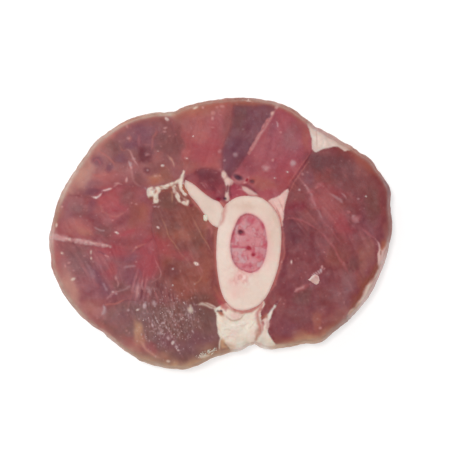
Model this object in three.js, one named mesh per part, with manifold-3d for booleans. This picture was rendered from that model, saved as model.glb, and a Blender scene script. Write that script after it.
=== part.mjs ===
// A cross-cut slice of veal shank: a thick round of raw meat with the shin bone standing through it.
// The slice lies on its lower cut face, in millimetres, with +Z up and +X along its longest side.
// The origin is on the resting face, under the middle of the slice.
import * as THREE from "three";
import { mergeVertices } from "three/addons/utils/BufferGeometryUtils.js";
import Module from "manifold-3d";

const wasm = await Module();
wasm.setup();

// Driving dimensions of the slice
const THICKNESS = 32;
const GAP = 0.3; // between neighbouring pieces
const HEART = [10, -8]; // middle of the shin bone, where the rings of the cut face start
const RIM_FAT_LEAN = [-3.4, 2]; // how far the fat on the outer wall shifts inwards at its foot
const RIM_POINTS = 104;
const FACE_RINGS = 11;

const PAST_FACES = 4; // how far a cutter runs past the cut faces

// Heights of the two bones, the marrow and the fat
const SHIN_TOP = THICKNESS + 0.35;
const SIDE_BONE_TOP = THICKNESS + 0.15;
const MARROW_TOP = THICKNESS - 0.7;
const MARROW_BOTTOM = 0.7;
const MARROW_ROUNDING = 0.9;
const FAT_RISE = 0.35; // how far fat and sinew stand above the cut face

// Seams between muscles: a narrow slit, and a valley where the meat rolls into it
const VALLEY_DEPTH = 0.65;
const VALLEY_WIDTH = 1.3;
const ROLLED_LAYER = 3; // only this much under the upper face follows the valleys

// Spacing of the points along a smooth line
const COARSE_STEP = 2.6;
const FINE_STEP = 1.5;

// The outer wall bulges: how far it stays inside the widest outline at each height
const WALL = [
  { z: 0, inset: 4.6 },
  { z: 0.9, inset: 3.1 },
  { z: 3.2, inset: 1.8 },
  { z: 8, inset: 0.7 },
  { z: 14, inset: 0.15 },
  { z: 20, inset: 0 },
  { z: 26, inset: 0.5 },
  { z: 29.4, inset: 1.3 },
  { z: 31.3, inset: 2.4 },
  { z: THICKNESS, inset: 4 },
];

// Muscle bellies that stand proud of the saw's plane
const BELLIES = [
  { x: -36, y: 25, reach: 19, rise: 0.9 },
  { x: -44, y: 2, reach: 15, rise: 0.6 },
  { x: -42, y: -18, reach: 17, rise: 0.8 },
  { x: -14, y: -8, reach: 13, rise: 0.5 },
  { x: -19, y: -38, reach: 14, rise: 1.0 },
  { x: -7, y: 38, reach: 14, rise: 0.9 },
  { x: 10, y: 41, reach: 9, rise: 0.5 },
  { x: 22, y: 30, reach: 11, rise: 0.8 },
  { x: -4, y: 19, reach: 6, rise: 0.3 },
  { x: 42, y: -2, reach: 24, rise: 1.2 },
];

// Widest outline of the slice, with a notch at the upper left and one under the bone
const OUTLINE = [
  [64.9, 1.9], [64.6, 9.5], [63.9, 17.4], [57, 28], [51.4, 31.8], [36.6, 40.6], [23.9, 49.1],
  [9.1, 51.7], [-5.3, 50.1], [-16.7, 46.5], [-19.1, 45.3], [-22, 46.1], [-33.9, 43.4],
  [-47.6, 34.6], [-52.5, 27.9], [-61.2, 12.9], [-64.9, -4.5], [-63.9, -13.6], [-54.8, -29.2],
  [-41.7, -40.4], [-28.4, -49], [-13.3, -51.6], [-3.4, -47.2], [0.8, -45.5], [6.1, -44.8],
  [9.9, -43.6], [12.1, -42.2], [17.4, -44], [30.3, -42.8], [37.3, -41.3], [44, -37],
  [55.9, -24.9], [63.1, -8.9],
];

// Outlines of the bones and the marrow, seen from above
const SHIN_OUTLINE = [
  [11.2, 14], [15.5, 13.3], [19.3, 10.4], [22, 6.1], [23.1, 0.4], [21.6, -14], [16.1, -25.8],
  [11.7, -28.6], [7.6, -29.2], [4, -27.7], [1.1, -23.5], [-1.2, -11], [-0.8, 1.1], [0.6, 5.7],
  [1.7, 9.9], [6, 13.2],
];
const MARROW_OUTLINE = [
  [10.2, 7.3], [13.5, 6.1], [16.1, 3.4], [17.6, -5.3], [15, -13.3], [12.1, -14.9], [6.1, -12.3],
  [4.1, -4.5], [6, 2.8], [7.8, 6.1],
];
const SIDE_BONE_OUTLINE = [
  [-13.1, 20], [-6.8, 15.6], [-3.4, 13], [-0.4, 11.6], [1.1, 9.7], [-0.2, 3.4], [-1.5, 2.1],
  [-3.6, 4], [-8.7, 11.2], [-12.9, 16.1], [-13.9, 18.2],
];

// Outlines of the fat. Those at the rim run past the slice and are trimmed by it
const FAT_OUTLINES = {
  fat_upper_right: [
    [28.4, 47.6], [31.5, 44.3], [33.5, 40.6], [34.9, 36], [35.4, 30.9], [38.7, 31.8], [44.7, 32.8],
    [46.8, 31.1], [49.3, 31.5], [54, 30.6], [59, 34], [47.4, 46.6], [33, 54],
  ],
  fat_beside_bone: [
    [26, 17.1], [25.1, 13.6], [23.8, 5.7], [23.3, 1.9], [19, 4], [16.3, 10.6], [18.2, 12.2],
    [22.7, 14.1],
  ],
  fat_under_bone: [
    [6, -25], [0.8, -27.5], [-1.7, -29], [-1.2, -31.3], [-0.8, -37.1], [0.4, -40], [4.2, -44.3],
    [5, -50], [14, -50], [15.1, -42.4], [15.6, -36.8], [15.3, -29.9], [16.9, -26.5], [12, -23],
  ],
  fat_under_right: [
    [22, -26], [19.5, -30.5], [18.2, -34.9], [18, -37.5], [20.7, -42.4], [24, -50], [15, -50],
    [15.5, -42.4], [16, -36.8], [15.9, -33.7], [18.6, -30.3],
  ],
  fat_by_vessels: [
    [1.1, 24.1], [3.6, 20.8], [5.5, 19.6], [3.4, 17.4], [3.1, 15.9], [3.5, 12], [2, 12],
    [2.1, 18.6], [0.6, 22],
  ],
  fat_over_bone: [[8.1, 18], [12.5, 15.9], [16, 13], [12.1, 13.6], [9, 16.2]],
};
const RIM_FAT_OUTLINE = [
  [69, 0], [63.5, -3.8], [60.3, -7.8], [60.1, -11], [57.2, -17.2], [53.1, -25], [47.8, -34.5],
  [60, -37], [70, -20],
];

// White sheets between muscles: the line they follow, and their width at its two ends
const SHEETS = {
  fascia_left: { line: [[-68, -0.1], [-58.4, -2.4], [-49.3, -3.8], [-41.3, -5.2]], from: 2.3, to: 0.9 },
  fascia_top: { line: [[24.6, 52], [19.9, 45.5], [15.5, 38.3], [10.6, 29.9]], from: 1.3, to: 0.7 },
};

// Branching sinew left of the side bone: three strands and the clump that they end in
const STRANDS = [
  { line: [[-13.6, 23.8], [-14.6, 21], [-18.8, 18.2], [-25.6, 16.2]], from: 0.7, to: 1.9 },
  { line: [[-14.5, 20.8], [-14.9, 16.9], [-12.6, 14.2]], from: 1, to: 1.1 },
  { line: [[-17.7, 18.2], [-16.9, 15.3], [-15.2, 12.8], [-12, 11.4]], from: 1.2, to: 2.3 },
];
const CLUMP_OUTLINE = [
  [-27.6, 16.9], [-23.1, 17.1], [-22.2, 15.9], [-23.8, 14.4], [-23.4, 11.7], [-24.8, 11.2],
  [-25.4, 14], [-26.6, 12.7], [-27.7, 15.5],
];

// Seams that part one muscle from the next
const SEAMS = [
  [[-19.8, 50], [-18.4, 41.3], [-14.8, 29.6], [-13.7, 22.5], [-13.9, 20.5]],
  [[-68, 11.4], [-56.5, 14.2], [-47.4, 13.3], [-40.2, 17.1], [-31.5, 18], [-26.4, 15.8]],
  [[-42.5, -5], [-33, -6.8], [-25, -1.9]],
  [[-24.3, 12.5], [-25.8, 2.7], [-22.6, -14], [-26.5, -26.5]],
  [[-50.5, -43], [-44, -30.7], [-36.8, -26], [-26.5, -26.3], [-12.1, -26.2], [-0.4, -29.9]],
  [[5.4, 55], [4.4, 41.3], [1.3, 32.2], [1.2, 23]],
  [[11.2, 31], [7.2, 25.4], [3.4, 20.4]],
  [[-14.6, 21.6], [-11.4, 22], [-6.1, 24.3], [1.6, 22.6]],
  [[4.2, 19.3], [6.1, 18.7], [9.2, 16.8]],
  [[35.8, 32.2], [31.5, 25], [25.2, 15.6]],
];

// A point inside each muscle, and its colour
const MUSCLES = {
  muscle_upper_left: { at: [-36, 31.5], color: "#8c4a47" },
  muscle_left: { at: [-49.3, 6.8], color: "#87433f" },
  muscle_lower_left: { at: [-49.3, -21.6], color: "#8a4442" },
  muscle_inner: { at: [-11.4, -6.4], color: "#7c4a41" },
  muscle_bottom: { at: [-19, -36.8], color: "#684140" },
  muscle_top_left: { at: [-7.6, 39], color: "#964b4b" },
  muscle_top_dark: { at: [9.5, 40.9], color: "#6f3542" },
  muscle_top_right: { at: [22.7, 27.7], color: "#8f4249" },
  muscle_deep: { at: [-3.8, 19], color: "#793842" },
  muscle_sliver: { at: [6.1, 15.9], color: "#8a3f45" },
  muscle_right: { at: [41.7, 1.1], color: "#80423f" },
};

// Closed smooth line through a few points
function closedLine(points, step) {
  const controls = points.map(([x, y]) => new THREE.Vector3(x, y, 0));
  const curve = new THREE.CatmullRomCurve3(controls, true, "centripetal");
  const count = Math.max(8, Math.round(curve.getLength() / step));
  return curve.getSpacedPoints(count).slice(0, count);
}

// Open smooth line through a few points
function openLine(points, step) {
  const controls = points.map(([x, y]) => new THREE.Vector3(x, y, 0));
  const curve = new THREE.CatmullRomCurve3(controls, false, "centripetal");
  return curve.getSpacedPoints(Math.max(2, Math.round(curve.getLength() / step)));
}

// The same closed line moved outwards, for lines that run anticlockwise as for those that don't
function grown(line, distance) {
  const sense = THREE.ShapeUtils.isClockWise(line) ? -1 : 1;
  return line.map((point, i) => {
    const before = line[(i + line.length - 1) % line.length];
    const after = line[(i + 1) % line.length];
    const inward = point.clone().sub(before).normalize();
    const onward = after.clone().sub(point).normalize();
    const along = inward.clone().add(onward).normalize();
    const sharpness = Math.max(0.4, along.dot(onward));
    const outward = new THREE.Vector3(along.y, -along.x, 0).multiplyScalar((sense * distance) / sharpness);
    return point.clone().add(outward);
  });
}

// A strip along an open line whose width runs evenly from one end to the other
function strip(points, from, to, step) {
  const line = openLine(points, step);
  const last = line.length - 1;
  const sides = [[], []];
  line.forEach((point, i) => {
    const along = line[Math.min(i + 1, last)].clone().sub(line[Math.max(i - 1, 0)]).normalize();
    const half = THREE.MathUtils.lerp(from, to, i / last) / 2;
    const across = new THREE.Vector3(-along.y, along.x, 0).multiplyScalar(half);
    sides[0].push(point.clone().add(across));
    sides[1].unshift(point.clone().sub(across));
  });
  return [...sides[0], ...sides[1]];
}

// A closed mesh as a solid that can be joined and cut
function toSolid(geometry) {
  geometry.deleteAttribute("normal");
  geometry.deleteAttribute("uv");
  const merged = mergeVertices(geometry, 1e-4);
  const vertProperties = new Float32Array(merged.attributes.position.array);
  const triVerts = new Uint32Array(merged.index.array);
  return new wasm.Manifold(new wasm.Mesh({ numProp: 3, vertProperties, triVerts }));
}

// The solid's vertices and triangles as a mesh again
function toGeometry(solid) {
  const mesh = solid.getMesh();
  const geometry = new THREE.BufferGeometry();
  geometry.setAttribute("position", new THREE.BufferAttribute(new Float32Array(mesh.vertProperties), 3));
  geometry.setIndex(new THREE.BufferAttribute(new Uint32Array(mesh.triVerts), 1));
  return geometry;
}

// An outline run through the slice from one height to another
function prism(line, from, to, options = {}) {
  const shape = new THREE.Shape(line.map((point) => new THREE.Vector2(point.x, point.y)));
  if (options.hole) {
    shape.holes.push(new THREE.Path(options.hole.map((point) => new THREE.Vector2(point.x, point.y))));
  }
  const rounding = options.rounding ?? 0;
  const lean = options.lean ?? [0, 0];
  const geometry = new THREE.ExtrudeGeometry(shape, {
    depth: to - from - 2 * rounding,
    bevelEnabled: rounding > 0,
    bevelThickness: rounding,
    bevelSize: rounding,
    bevelOffset: -rounding,
    bevelSegments: 3,
  });
  geometry.translate(0, 0, from + rounding);
  const position = geometry.attributes.position;
  for (let i = 0; i < position.count; i += 1) {
    const down = 1 - position.getZ(i) / THICKNESS;
    position.setXY(i, position.getX(i) + lean[0] * down, position.getY(i) + lean[1] * down);
  }
  return toSolid(geometry);
}

// An outline run well past both cut faces, to cut with or to be trimmed
function throughPrism(line, options) {
  return prism(line, -PAST_FACES, THICKNESS + PAST_FACES, options);
}

// Height of the upper face over the saw's plane
function bellyRise(x, y) {
  return BELLIES.reduce((sum, belly) => {
    const away = Math.hypot(x - belly.x, y - belly.y) / belly.reach;
    return sum + belly.rise * Math.exp(-away * away);
  }, 0);
}

// Distance from a point to a line of points
function distanceTo(line, x, y) {
  let nearest = Infinity;
  for (let i = 1; i < line.length; i += 1) {
    const start = line[i - 1];
    const run = line[i].clone().sub(start);
    const share = ((x - start.x) * run.x + (y - start.y) * run.y) / run.lengthSq();
    const along = THREE.MathUtils.clamp(share, 0, 1);
    nearest = Math.min(nearest, Math.hypot(x - start.x - along * run.x, y - start.y - along * run.y));
  }
  return nearest;
}

// The whole slice: rings up the bulging wall, then rings that close in over the upper face
function wholeSlice() {
  const curve = new THREE.CatmullRomCurve3(
    OUTLINE.map(([x, y]) => new THREE.Vector3(x, y, 0)), true, "centripetal",
  );
  const rim = curve.getSpacedPoints(RIM_POINTS).slice(0, RIM_POINTS);
  const rings = WALL.map(({ z, inset }) => grown(rim, -inset).map(({ x, y }) => [x, y, z]));
  const edge = rings[rings.length - 1];
  for (let i = 1; i < FACE_RINGS; i += 1) {
    const share = 1 - i / FACE_RINGS;
    rings.push(edge.map(([x, y]) => [
      HEART[0] + (x - HEART[0]) * share, HEART[1] + (y - HEART[1]) * share, THICKNESS,
    ]));
  }
  const vertices = [[HEART[0], HEART[1], 0], ...rings.flat(), [HEART[0], HEART[1], THICKNESS]];
  const top = vertices.length - 1;
  const onFace = ([x, y, z]) => [x, y, z > THICKNESS - ROLLED_LAYER ? z + bellyRise(x, y) : z];
  const triangles = [];
  for (let i = 0; i < RIM_POINTS; i += 1) {
    const next = (i + 1) % RIM_POINTS;
    triangles.push(0, 1 + next, 1 + i);
    for (let ring = 0; ring < rings.length - 1; ring += 1) {
      const low = 1 + ring * RIM_POINTS;
      const high = low + RIM_POINTS;
      triangles.push(low + i, low + next, high + i, low + next, high + next, high + i);
    }
    triangles.push(top - RIM_POINTS + i, top - RIM_POINTS + next, top);
  }
  const geometry = new THREE.BufferGeometry();
  geometry.setAttribute("position", new THREE.Float32BufferAttribute(vertices.map(onFace).flat(), 3));
  geometry.setIndex(triangles);
  return toSolid(geometry);
}

// Whether the upper face of a solid covers a point
function covers(solid, x, y) {
  const { vertProperties: at, triVerts } = solid.getMesh();
  const corner = (i) => new THREE.Vector3(at[3 * triVerts[i]], at[3 * triVerts[i] + 1], 0);
  const level = (i) => at[3 * triVerts[i] + 2];
  const point = new THREE.Vector3(x, y, 0);
  for (let i = 0; i < triVerts.length; i += 3) {
    if (level(i) < THICKNESS / 2) continue;
    if (THREE.Triangle.containsPoint(point, corner(i), corner(i + 1), corner(i + 2))) return true;
  }
  return false;
}

// The upper face rolls down beside the seams, and fat stands a little proud
function finishFace(geometry, rise) {
  const position = geometry.attributes.position;
  for (let i = 0; i < position.count; i += 1) {
    const z = position.getZ(i);
    const share = THREE.MathUtils.clamp((z - THICKNESS + ROLLED_LAYER) / ROLLED_LAYER, 0, 1);
    if (share > 0) {
      const away = Math.min(...seamLines.map((line) => distanceTo(line, position.getX(i), position.getY(i))));
      const valley = VALLEY_DEPTH * Math.exp(-((away / VALLEY_WIDTH) ** 2));
      position.setZ(i, z + share * (rise - valley));
    }
  }
  geometry.computeVertexNormals();
  return geometry;
}

function look(color, roughness) {
  return new THREE.MeshStandardMaterial({ color, roughness, metalness: 0 });
}

function addPiece(name, geometry, material) {
  const mesh = new THREE.Mesh(geometry, material);
  mesh.name = name;
  slice.add(mesh);
}

const FAT_LOOK = look("#d9cbb8", 0.5);
const SINEW_LOOK = look("#cdbfac", 0.5);
const BONE_LOOK = look("#dfc6b6", 0.45);
const MARROW_LOOK = look("#c98a90", 0.4);

const slice = new THREE.Group();
const whole = wholeSlice();
const seamLines = SEAMS.map((line) => openLine(line, COARSE_STEP));
const taken = []; // grown copies of the pieces placed so far, which later ones are cut by

// Shin bone, a thick-walled tube, with its marrow
const shinLine = closedLine(SHIN_OUTLINE, COARSE_STEP);
const marrowLine = closedLine(MARROW_OUTLINE, COARSE_STEP);
const marrowHole = grown(marrowLine, GAP).reverse(); // a hole runs the other way round
const shin = prism(shinLine, 0, SHIN_TOP, { hole: marrowHole });
addPiece("shin_bone", finishFace(toGeometry(shin), 0), BONE_LOOK);
const marrow = prism(marrowLine, MARROW_BOTTOM, MARROW_TOP, { rounding: MARROW_ROUNDING });
addPiece("marrow", finishFace(toGeometry(marrow), 0), MARROW_LOOK);
taken.push(throughPrism(grown(shinLine, GAP)));

// Side bone, a wedge that meets the shin bone's upper left
const sideLine = closedLine(SIDE_BONE_OUTLINE, COARSE_STEP);
const sideBone = prism(sideLine, 0, SIDE_BONE_TOP).subtract(taken[0]);
addPiece("side_bone", finishFace(toGeometry(sideBone), 0), BONE_LOOK);
taken.push(throughPrism(grown(sideLine, GAP)));

// Cuts a through-going solid by what is already there and trims it to the slice
function inlay(name, solid, cutter, material) {
  const trimmed = taken.reduce((rest, other) => rest.subtract(other), solid).intersect(whole);
  const largest = trimmed.decompose().sort((a, b) => b.volume() - a.volume())[0];
  addPiece(name, finishFace(toGeometry(largest), FAT_RISE), material);
  taken.push(cutter);
}

// Branching sinew
const clumpLine = closedLine(CLUMP_OUTLINE, FINE_STEP);
const strandSolids = STRANDS.map(({ line, from, to }) => throughPrism(strip(line, from, to, FINE_STEP)));
const strandCutters = STRANDS.map(({ line, from, to }) => {
  return throughPrism(grown(strip(line, from, to, FINE_STEP), GAP));
});
inlay(
  "tendon_strands",
  strandSolids.reduce((all, strand) => all.add(strand), throughPrism(clumpLine)),
  strandCutters.reduce((all, strand) => all.add(strand), throughPrism(grown(clumpLine, GAP))),
  SINEW_LOOK,
);

// Fat in the seams and at the rim
for (const [name, outline] of Object.entries(FAT_OUTLINES)) {
  const line = closedLine(outline, FINE_STEP);
  inlay(name, throughPrism(line), throughPrism(grown(line, GAP)), FAT_LOOK);
}

const rimFatLine = closedLine(RIM_FAT_OUTLINE, COARSE_STEP);
inlay(
  "fat_right_rim",
  throughPrism(rimFatLine, { lean: RIM_FAT_LEAN }),
  throughPrism(grown(rimFatLine, GAP), { lean: RIM_FAT_LEAN }),
  FAT_LOOK,
);

// White sheets between muscles
for (const [name, { line, from, to }] of Object.entries(SHEETS)) {
  const band = strip(line, from, to, COARSE_STEP);
  inlay(name, throughPrism(band), throughPrism(grown(band, GAP)), SINEW_LOOK);
}

// What is left is meat, which the seams part into muscles
const slits = SEAMS.map((line) => throughPrism(strip(line, GAP, GAP, COARSE_STEP)));
const meat = [...taken, ...slits].reduce((rest, cutter) => rest.subtract(cutter), whole);
const pieces = meat.decompose();
for (const [name, { at, color }] of Object.entries(MUSCLES)) {
  const muscle = pieces.find((piece) => covers(piece, at[0], at[1]));
  addPiece(name, finishFace(toGeometry(muscle), 0), look(color, 0.5));
}

// The middle of the slice's box stands over the origin
const middle = new THREE.Box3().setFromObject(slice).getCenter(new THREE.Vector3());
slice.position.set(-middle.x, -middle.y, 0);

export default slice;
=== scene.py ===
"""A raw cross-cut slice of veal shank on a white sheet, seen from straight above."""

import math

import bmesh
import bpy
import numpy as np
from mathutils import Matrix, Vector
from mathutils.bvhtree import BVHTree
from mathutils.geometry import delaunay_2d_cdt
from mathutils.kdtree import KDTree


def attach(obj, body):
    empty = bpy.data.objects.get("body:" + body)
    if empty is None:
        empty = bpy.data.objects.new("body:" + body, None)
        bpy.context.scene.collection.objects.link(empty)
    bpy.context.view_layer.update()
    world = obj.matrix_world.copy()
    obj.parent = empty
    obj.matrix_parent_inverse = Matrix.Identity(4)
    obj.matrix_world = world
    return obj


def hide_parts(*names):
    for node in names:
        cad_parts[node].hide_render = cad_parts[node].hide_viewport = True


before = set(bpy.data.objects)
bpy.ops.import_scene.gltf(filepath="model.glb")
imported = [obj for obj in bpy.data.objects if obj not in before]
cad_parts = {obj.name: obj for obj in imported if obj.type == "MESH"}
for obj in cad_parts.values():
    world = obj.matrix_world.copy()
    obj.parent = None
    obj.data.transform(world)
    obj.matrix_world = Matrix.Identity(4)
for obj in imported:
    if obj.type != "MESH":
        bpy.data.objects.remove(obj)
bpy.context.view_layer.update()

# Every length is in millimetres until a mesh is made
MM = 0.001

# The photograph: the pixel over the origin, and the size of a pixel on the slice
PHOTO_MIDDLE = (220.0, 233.0)
PHOTO_PIXEL = 130 / 343
PHOTO_WIDTH = 452

# The slice, as in the frame
THICKNESS = 32.0
BONE_MIDDLE = (10.0, -8.0)
SHOULDER_Z = 29.3      # where the rounded upper edge meets the wall
SHOULDER_INSET = 1.3
WALL_Z = (0, 0.9, 3.2, 8, 14, 20, 26, SHOULDER_Z)
WALL_INSET = (4.6, 3.1, 1.8, 0.7, 0.15, 0, 0.5, SHOULDER_INSET)
SQUEEZED_RIM = 9.0     # the wall's bulge moves the meat this far inwards of it
EDGE_DROP = 2.6        # how far the upper face falls at the shoulder
EDGE_REACH = 0.85
SHIN_TOP = THICKNESS + 0.2
SIDE_BONE_TOP = THICKNESS + 0.1
MARROW_TOP = THICKNESS - 0.7
MARROW_BOTTOM = 0.7

# What the moist film reflects of the room, and the light that falls on the meat
FILM_GLARE = 0.035
DAYLIGHT = 0.91

# Fineness of the maps and of the meshes
CELL = 0.22
FACE_HALF = (70, 57)   # half the width and depth of the map of the cut face
WALL_CELL = 0.35
TOP_STEP = 0.34
UNDER_STEP = 0.9
LOOP_STEP = 0.4
RIM_ROWS = 34
INNER_ROWS = 8
GROW = 0.17            # pieces reach this far into the gap around them
CORNER = math.radians(34)

MUSCLES = (
    "muscle_upper_left", "muscle_left", "muscle_lower_left", "muscle_inner", "muscle_bottom",
    "muscle_top_left", "muscle_top_dark", "muscle_top_right", "muscle_deep", "muscle_sliver",
    "muscle_right",
)
FATS = (
    "fat_upper_right", "fat_beside_bone", "fat_under_bone", "fat_under_right", "fat_by_vessels",
    "fat_over_bone", "fat_right_rim",
)
SINEWS = ("tendon_strands", "fascia_left", "fascia_top")
BONES = ("shin_bone", "side_bone")
FLESH = MUSCLES + FATS + SINEWS

# Tones, as they look in daylight
TONES = {
    "wine": (120, 62, 70), "dark_wine": (106, 58, 66), "plum": (124, 78, 90), "mauve": (146, 98, 107),
    "red": (168, 78, 86), "rose": (170, 98, 102), "salmon": (184, 112, 106), "tan": (176, 124, 102),
    "ochre": (197, 155, 124), "brown": (142, 86, 76), "umber": (108, 76, 70), "grey": (150, 116, 118),
    "frost": (190, 164, 166), "blush": (200, 150, 148), "cream": (224, 208, 192),
    # The last tone on the next line is painted shade, the dark inside holes and cut vessels
    "white": (240, 227, 220), "blood": (144, 28, 50), "hole_shade": (78, 54, 66),
    "marrow": (196, 124, 130), "pink_bone": (220, 172, 166), "membrane": (208, 182, 162),
    "peach": (192, 145, 132), "rust": (168, 104, 88), "putty": (190, 160, 146), "sand": (176, 142, 124),
    "ash": (156, 126, 122), "clay": (172, 126, 112), "pale_pink": (214, 180, 174),
    "dusk": (126, 82, 82), "pink": (204, 150, 154),
    "crimson": (184, 80, 96), "crimson_dark": (126, 50, 62), "rose_light": (186, 120, 122),
    "blush_pale": (206, 164, 158), "plum_brown": (108, 70, 74), "cream_dull": (196, 178, 162),
}
# Base tone of each piece of meat, fat, sinew and bone
BASES = {
    "muscle_upper_left": (153, 98, 99), "muscle_left": (154, 91, 95), "muscle_lower_left": (149, 94, 98),
    "muscle_inner": (140, 84, 78), "muscle_bottom": (128, 92, 90), "muscle_top_left": (165, 97, 98),
    "muscle_top_dark": (124, 79, 87), "muscle_top_right": (158, 86, 94), "muscle_deep": (132, 70, 78),
    "muscle_sliver": (162, 78, 90), "muscle_right": (134, 77, 80),
    "fat_upper_right": (214, 194, 184), "fat_beside_bone": (222, 182, 174),
    "fat_under_bone": (226, 212, 198), "fat_under_right": (222, 208, 194),
    "fat_by_vessels": (210, 180, 170), "fat_over_bone": (214, 182, 174), "fat_right_rim": (206, 168, 160),
    "tendon_strands": (216, 202, 186), "fascia_left": (183, 146, 146), "fascia_top": (176, 112, 114),
    "shin_bone": (220, 198, 185), "side_bone": (217, 194, 181), "marrow": (190, 118, 124),
}


# Maps: fields on an even grid

class Grid:
    """An even grid over a rectangle, with smooth random fields and soft marks on it."""

    def __init__(self, low, high, cell):
        self.x = np.arange(low[0], high[0] - cell / 2, cell)
        self.y = np.arange(low[1], high[1] - cell / 2, cell)
        self.cell = cell
        self.X, self.Y = np.meshgrid(self.x, self.y)
        self.fx = np.fft.rfftfreq(len(self.x), cell)[None, :]
        self.fy = np.fft.fftfreq(len(self.y), cell)[:, None]

    def blur(self, field, sigma):
        """The field, smoothed over about this many millimetres."""
        gain = np.exp(-2 * (math.pi * sigma) ** 2 * (self.fx ** 2 + self.fy ** 2))
        return np.fft.irfft2(np.fft.rfft2(field) * gain, s=field.shape)

    def grain(self, seed, along, across=None, direction=0.0):
        """A random field with spots of these sizes that run at an angle, and a spread of 1."""
        across = along if across is None else across
        turn = math.radians(direction)
        run = self.fx * math.cos(turn) + self.fy * math.sin(turn)
        rise = self.fy * math.cos(turn) - self.fx * math.sin(turn)
        gain = np.exp(-2 * math.pi ** 2 * ((along * run) ** 2 + (across * rise) ** 2))
        white = np.random.default_rng(seed).standard_normal(self.X.shape)
        field = np.fft.irfft2(np.fft.rfft2(white) * gain, s=self.X.shape)
        return field / field.std()

    def sample(self, field, x, y):
        """The field's values at some points."""
        u = np.clip((x - self.x[0]) / self.cell, 0, len(self.x) - 1.001)
        v = np.clip((y - self.y[0]) / self.cell, 0, len(self.y) - 1.001)
        i, j = u.astype(int), v.astype(int)
        fu, fv = u - i, v - j
        if field.ndim == 3:
            fu, fv = fu[..., None], fv[..., None]
        low = field[j, i] * (1 - fu) + field[j, i + 1] * fu
        high = field[j + 1, i] * (1 - fu) + field[j + 1, i + 1] * fu
        return low * (1 - fv) + high * fv

    def window(self, low_x, high_x, low_y, high_y):
        """The rows and columns that lie between these limits."""
        columns = slice(*np.searchsorted(self.x, (low_x, high_x)))
        rows = slice(*np.searchsorted(self.y, (low_y, high_y)))
        return rows, columns

    def fill(self, loops):
        """A map that is 1 inside an outline and outside its holes, and 0 elsewhere."""
        flips = np.zeros((len(self.y), len(self.x) + 1), int)
        for loop in loops:
            for (ax, ay), (bx, by) in zip(loop, np.roll(loop, -1, 0)):
                low, high = np.searchsorted(self.y, sorted((ay, by)))
                if low < high:
                    crossing = ax + (self.y[low:high] - ay) / (by - ay) * (bx - ax)
                    flips[np.arange(low, high), np.searchsorted(self.x, crossing)] += 1
        return (np.cumsum(flips, axis=1)[:, :-1] % 2).astype(float)


def smoothstep(value, low, high):
    share = np.clip((value - low) / (high - low), 0, 1)
    return share * share * (3 - 2 * share)


def place(pixel):
    """The point of the slice that a pixel of the photograph shows."""
    return ((pixel[0] - PHOTO_MIDDLE[0]) * PHOTO_PIXEL, (PHOTO_MIDDLE[1] - pixel[1]) * PHOTO_PIXEL)


face = Grid((-FACE_HALF[0], -FACE_HALF[1]), FACE_HALF, CELL)
# Soft marks are drawn on slightly bent paper, so that none is a perfect oval
bend_x, bend_y = face.grain(11, 1.3), face.grain(12, 1.3)
bend_x += 0.4 * face.grain(13, 0.45)
bend_y += 0.4 * face.grain(14, 0.45)


def spot(pixel, long, wide, turn=0.0, firmness=1.0, bend=0.3):
    """A soft uneven oval: 1 in its middle, fading at its radii. A firm one has an edge."""
    x, y = place(pixel)
    reach = 2.6 * max(long, wide)
    part = face.window(x - reach, x + reach, y - reach, y + reach)
    give = bend * min(long, wide)
    dx = face.X[part] - x + give * bend_x[part]
    dy = face.Y[part] - y + give * bend_y[part]
    cos, sin = math.cos(math.radians(turn)), math.sin(math.radians(turn))
    away = ((dx * cos + dy * sin) / long) ** 2 + ((dy * cos - dx * sin) / wide) ** 2
    return part, np.exp(-away ** firmness)


def smooth_line(points, step=0.5):
    """A smooth open line through a few points."""
    points = np.asarray(points, float)
    ends = np.concatenate([[2 * points[0] - points[1]], points, [2 * points[-1] - points[-2]]])
    line = []
    for a, b, c, d in zip(ends, ends[1:], ends[2:], ends[3:]):
        count = max(2, int(np.linalg.norm(c - b) / step))
        t = np.linspace(0, 1, count, endpoint=False)[:, None]
        line.append(0.5 * (2 * b + (c - a) * t + (2 * a - 5 * b + 4 * c - d) * t ** 2
                           + (3 * b - a - 3 * c + d) * t ** 3))
    return np.concatenate(line + [points[-1:]])


def line_distance(line, x, y):
    """Distance of some points to a line, and how far along it they are, from 0 to 1."""
    nearest = np.full(x.shape, 1e9)
    where = np.zeros(x.shape)
    for k, (a, b) in enumerate(zip(line[:-1], line[1:])):
        run = b - a
        share = np.clip(((x - a[0]) * run[0] + (y - a[1]) * run[1]) / (run @ run + 1e-12), 0, 1)
        away = np.hypot(x - a[0] - share * run[0], y - a[1] - share * run[1])
        closer = away < nearest
        nearest = np.where(closer, away, nearest)
        where = np.where(closer, (k + share) / (len(line) - 1), where)
    return nearest, where


def stroke(pixels, width, taper=0.25, bend=0.35):
    """A soft line through some pixels; it thins out over this share of its length at each end."""
    line = smooth_line([place(p) for p in pixels])
    reach = 3 * width + 0.5
    part = face.window(line[:, 0].min() - reach, line[:, 0].max() + reach,
                       line[:, 1].min() - reach, line[:, 1].max() + reach)
    give = bend * width
    x, y = face.X[part] + give * bend_x[part], face.Y[part] + give * bend_y[part]
    away, where = line_distance(line, x, y)
    ends = smoothstep(np.minimum(where, 1 - where), -0.01, taper)
    return part, np.exp(-(away / (width * (0.35 + 0.65 * ends))) ** 2) * (0.3 + 0.7 * ends)


def tint(canvas, mark, tone, strength):
    """Pulls part of a canvas towards a tone."""
    part, mask = mark
    share = np.clip(mask * strength, 0, 1)[..., None]
    canvas[part] += (np.array(TONES[tone], float) - canvas[part]) * share


def tint_all(canvas, mask, tone, strength):
    """Pulls the whole canvas towards a tone, by a mask of its size."""
    tint(canvas, (slice(None), mask), tone, strength)


def lift(field, mark, amount):
    """Raises part of a field of heights."""
    part, mask = mark
    field[part] += mask * amount


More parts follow.
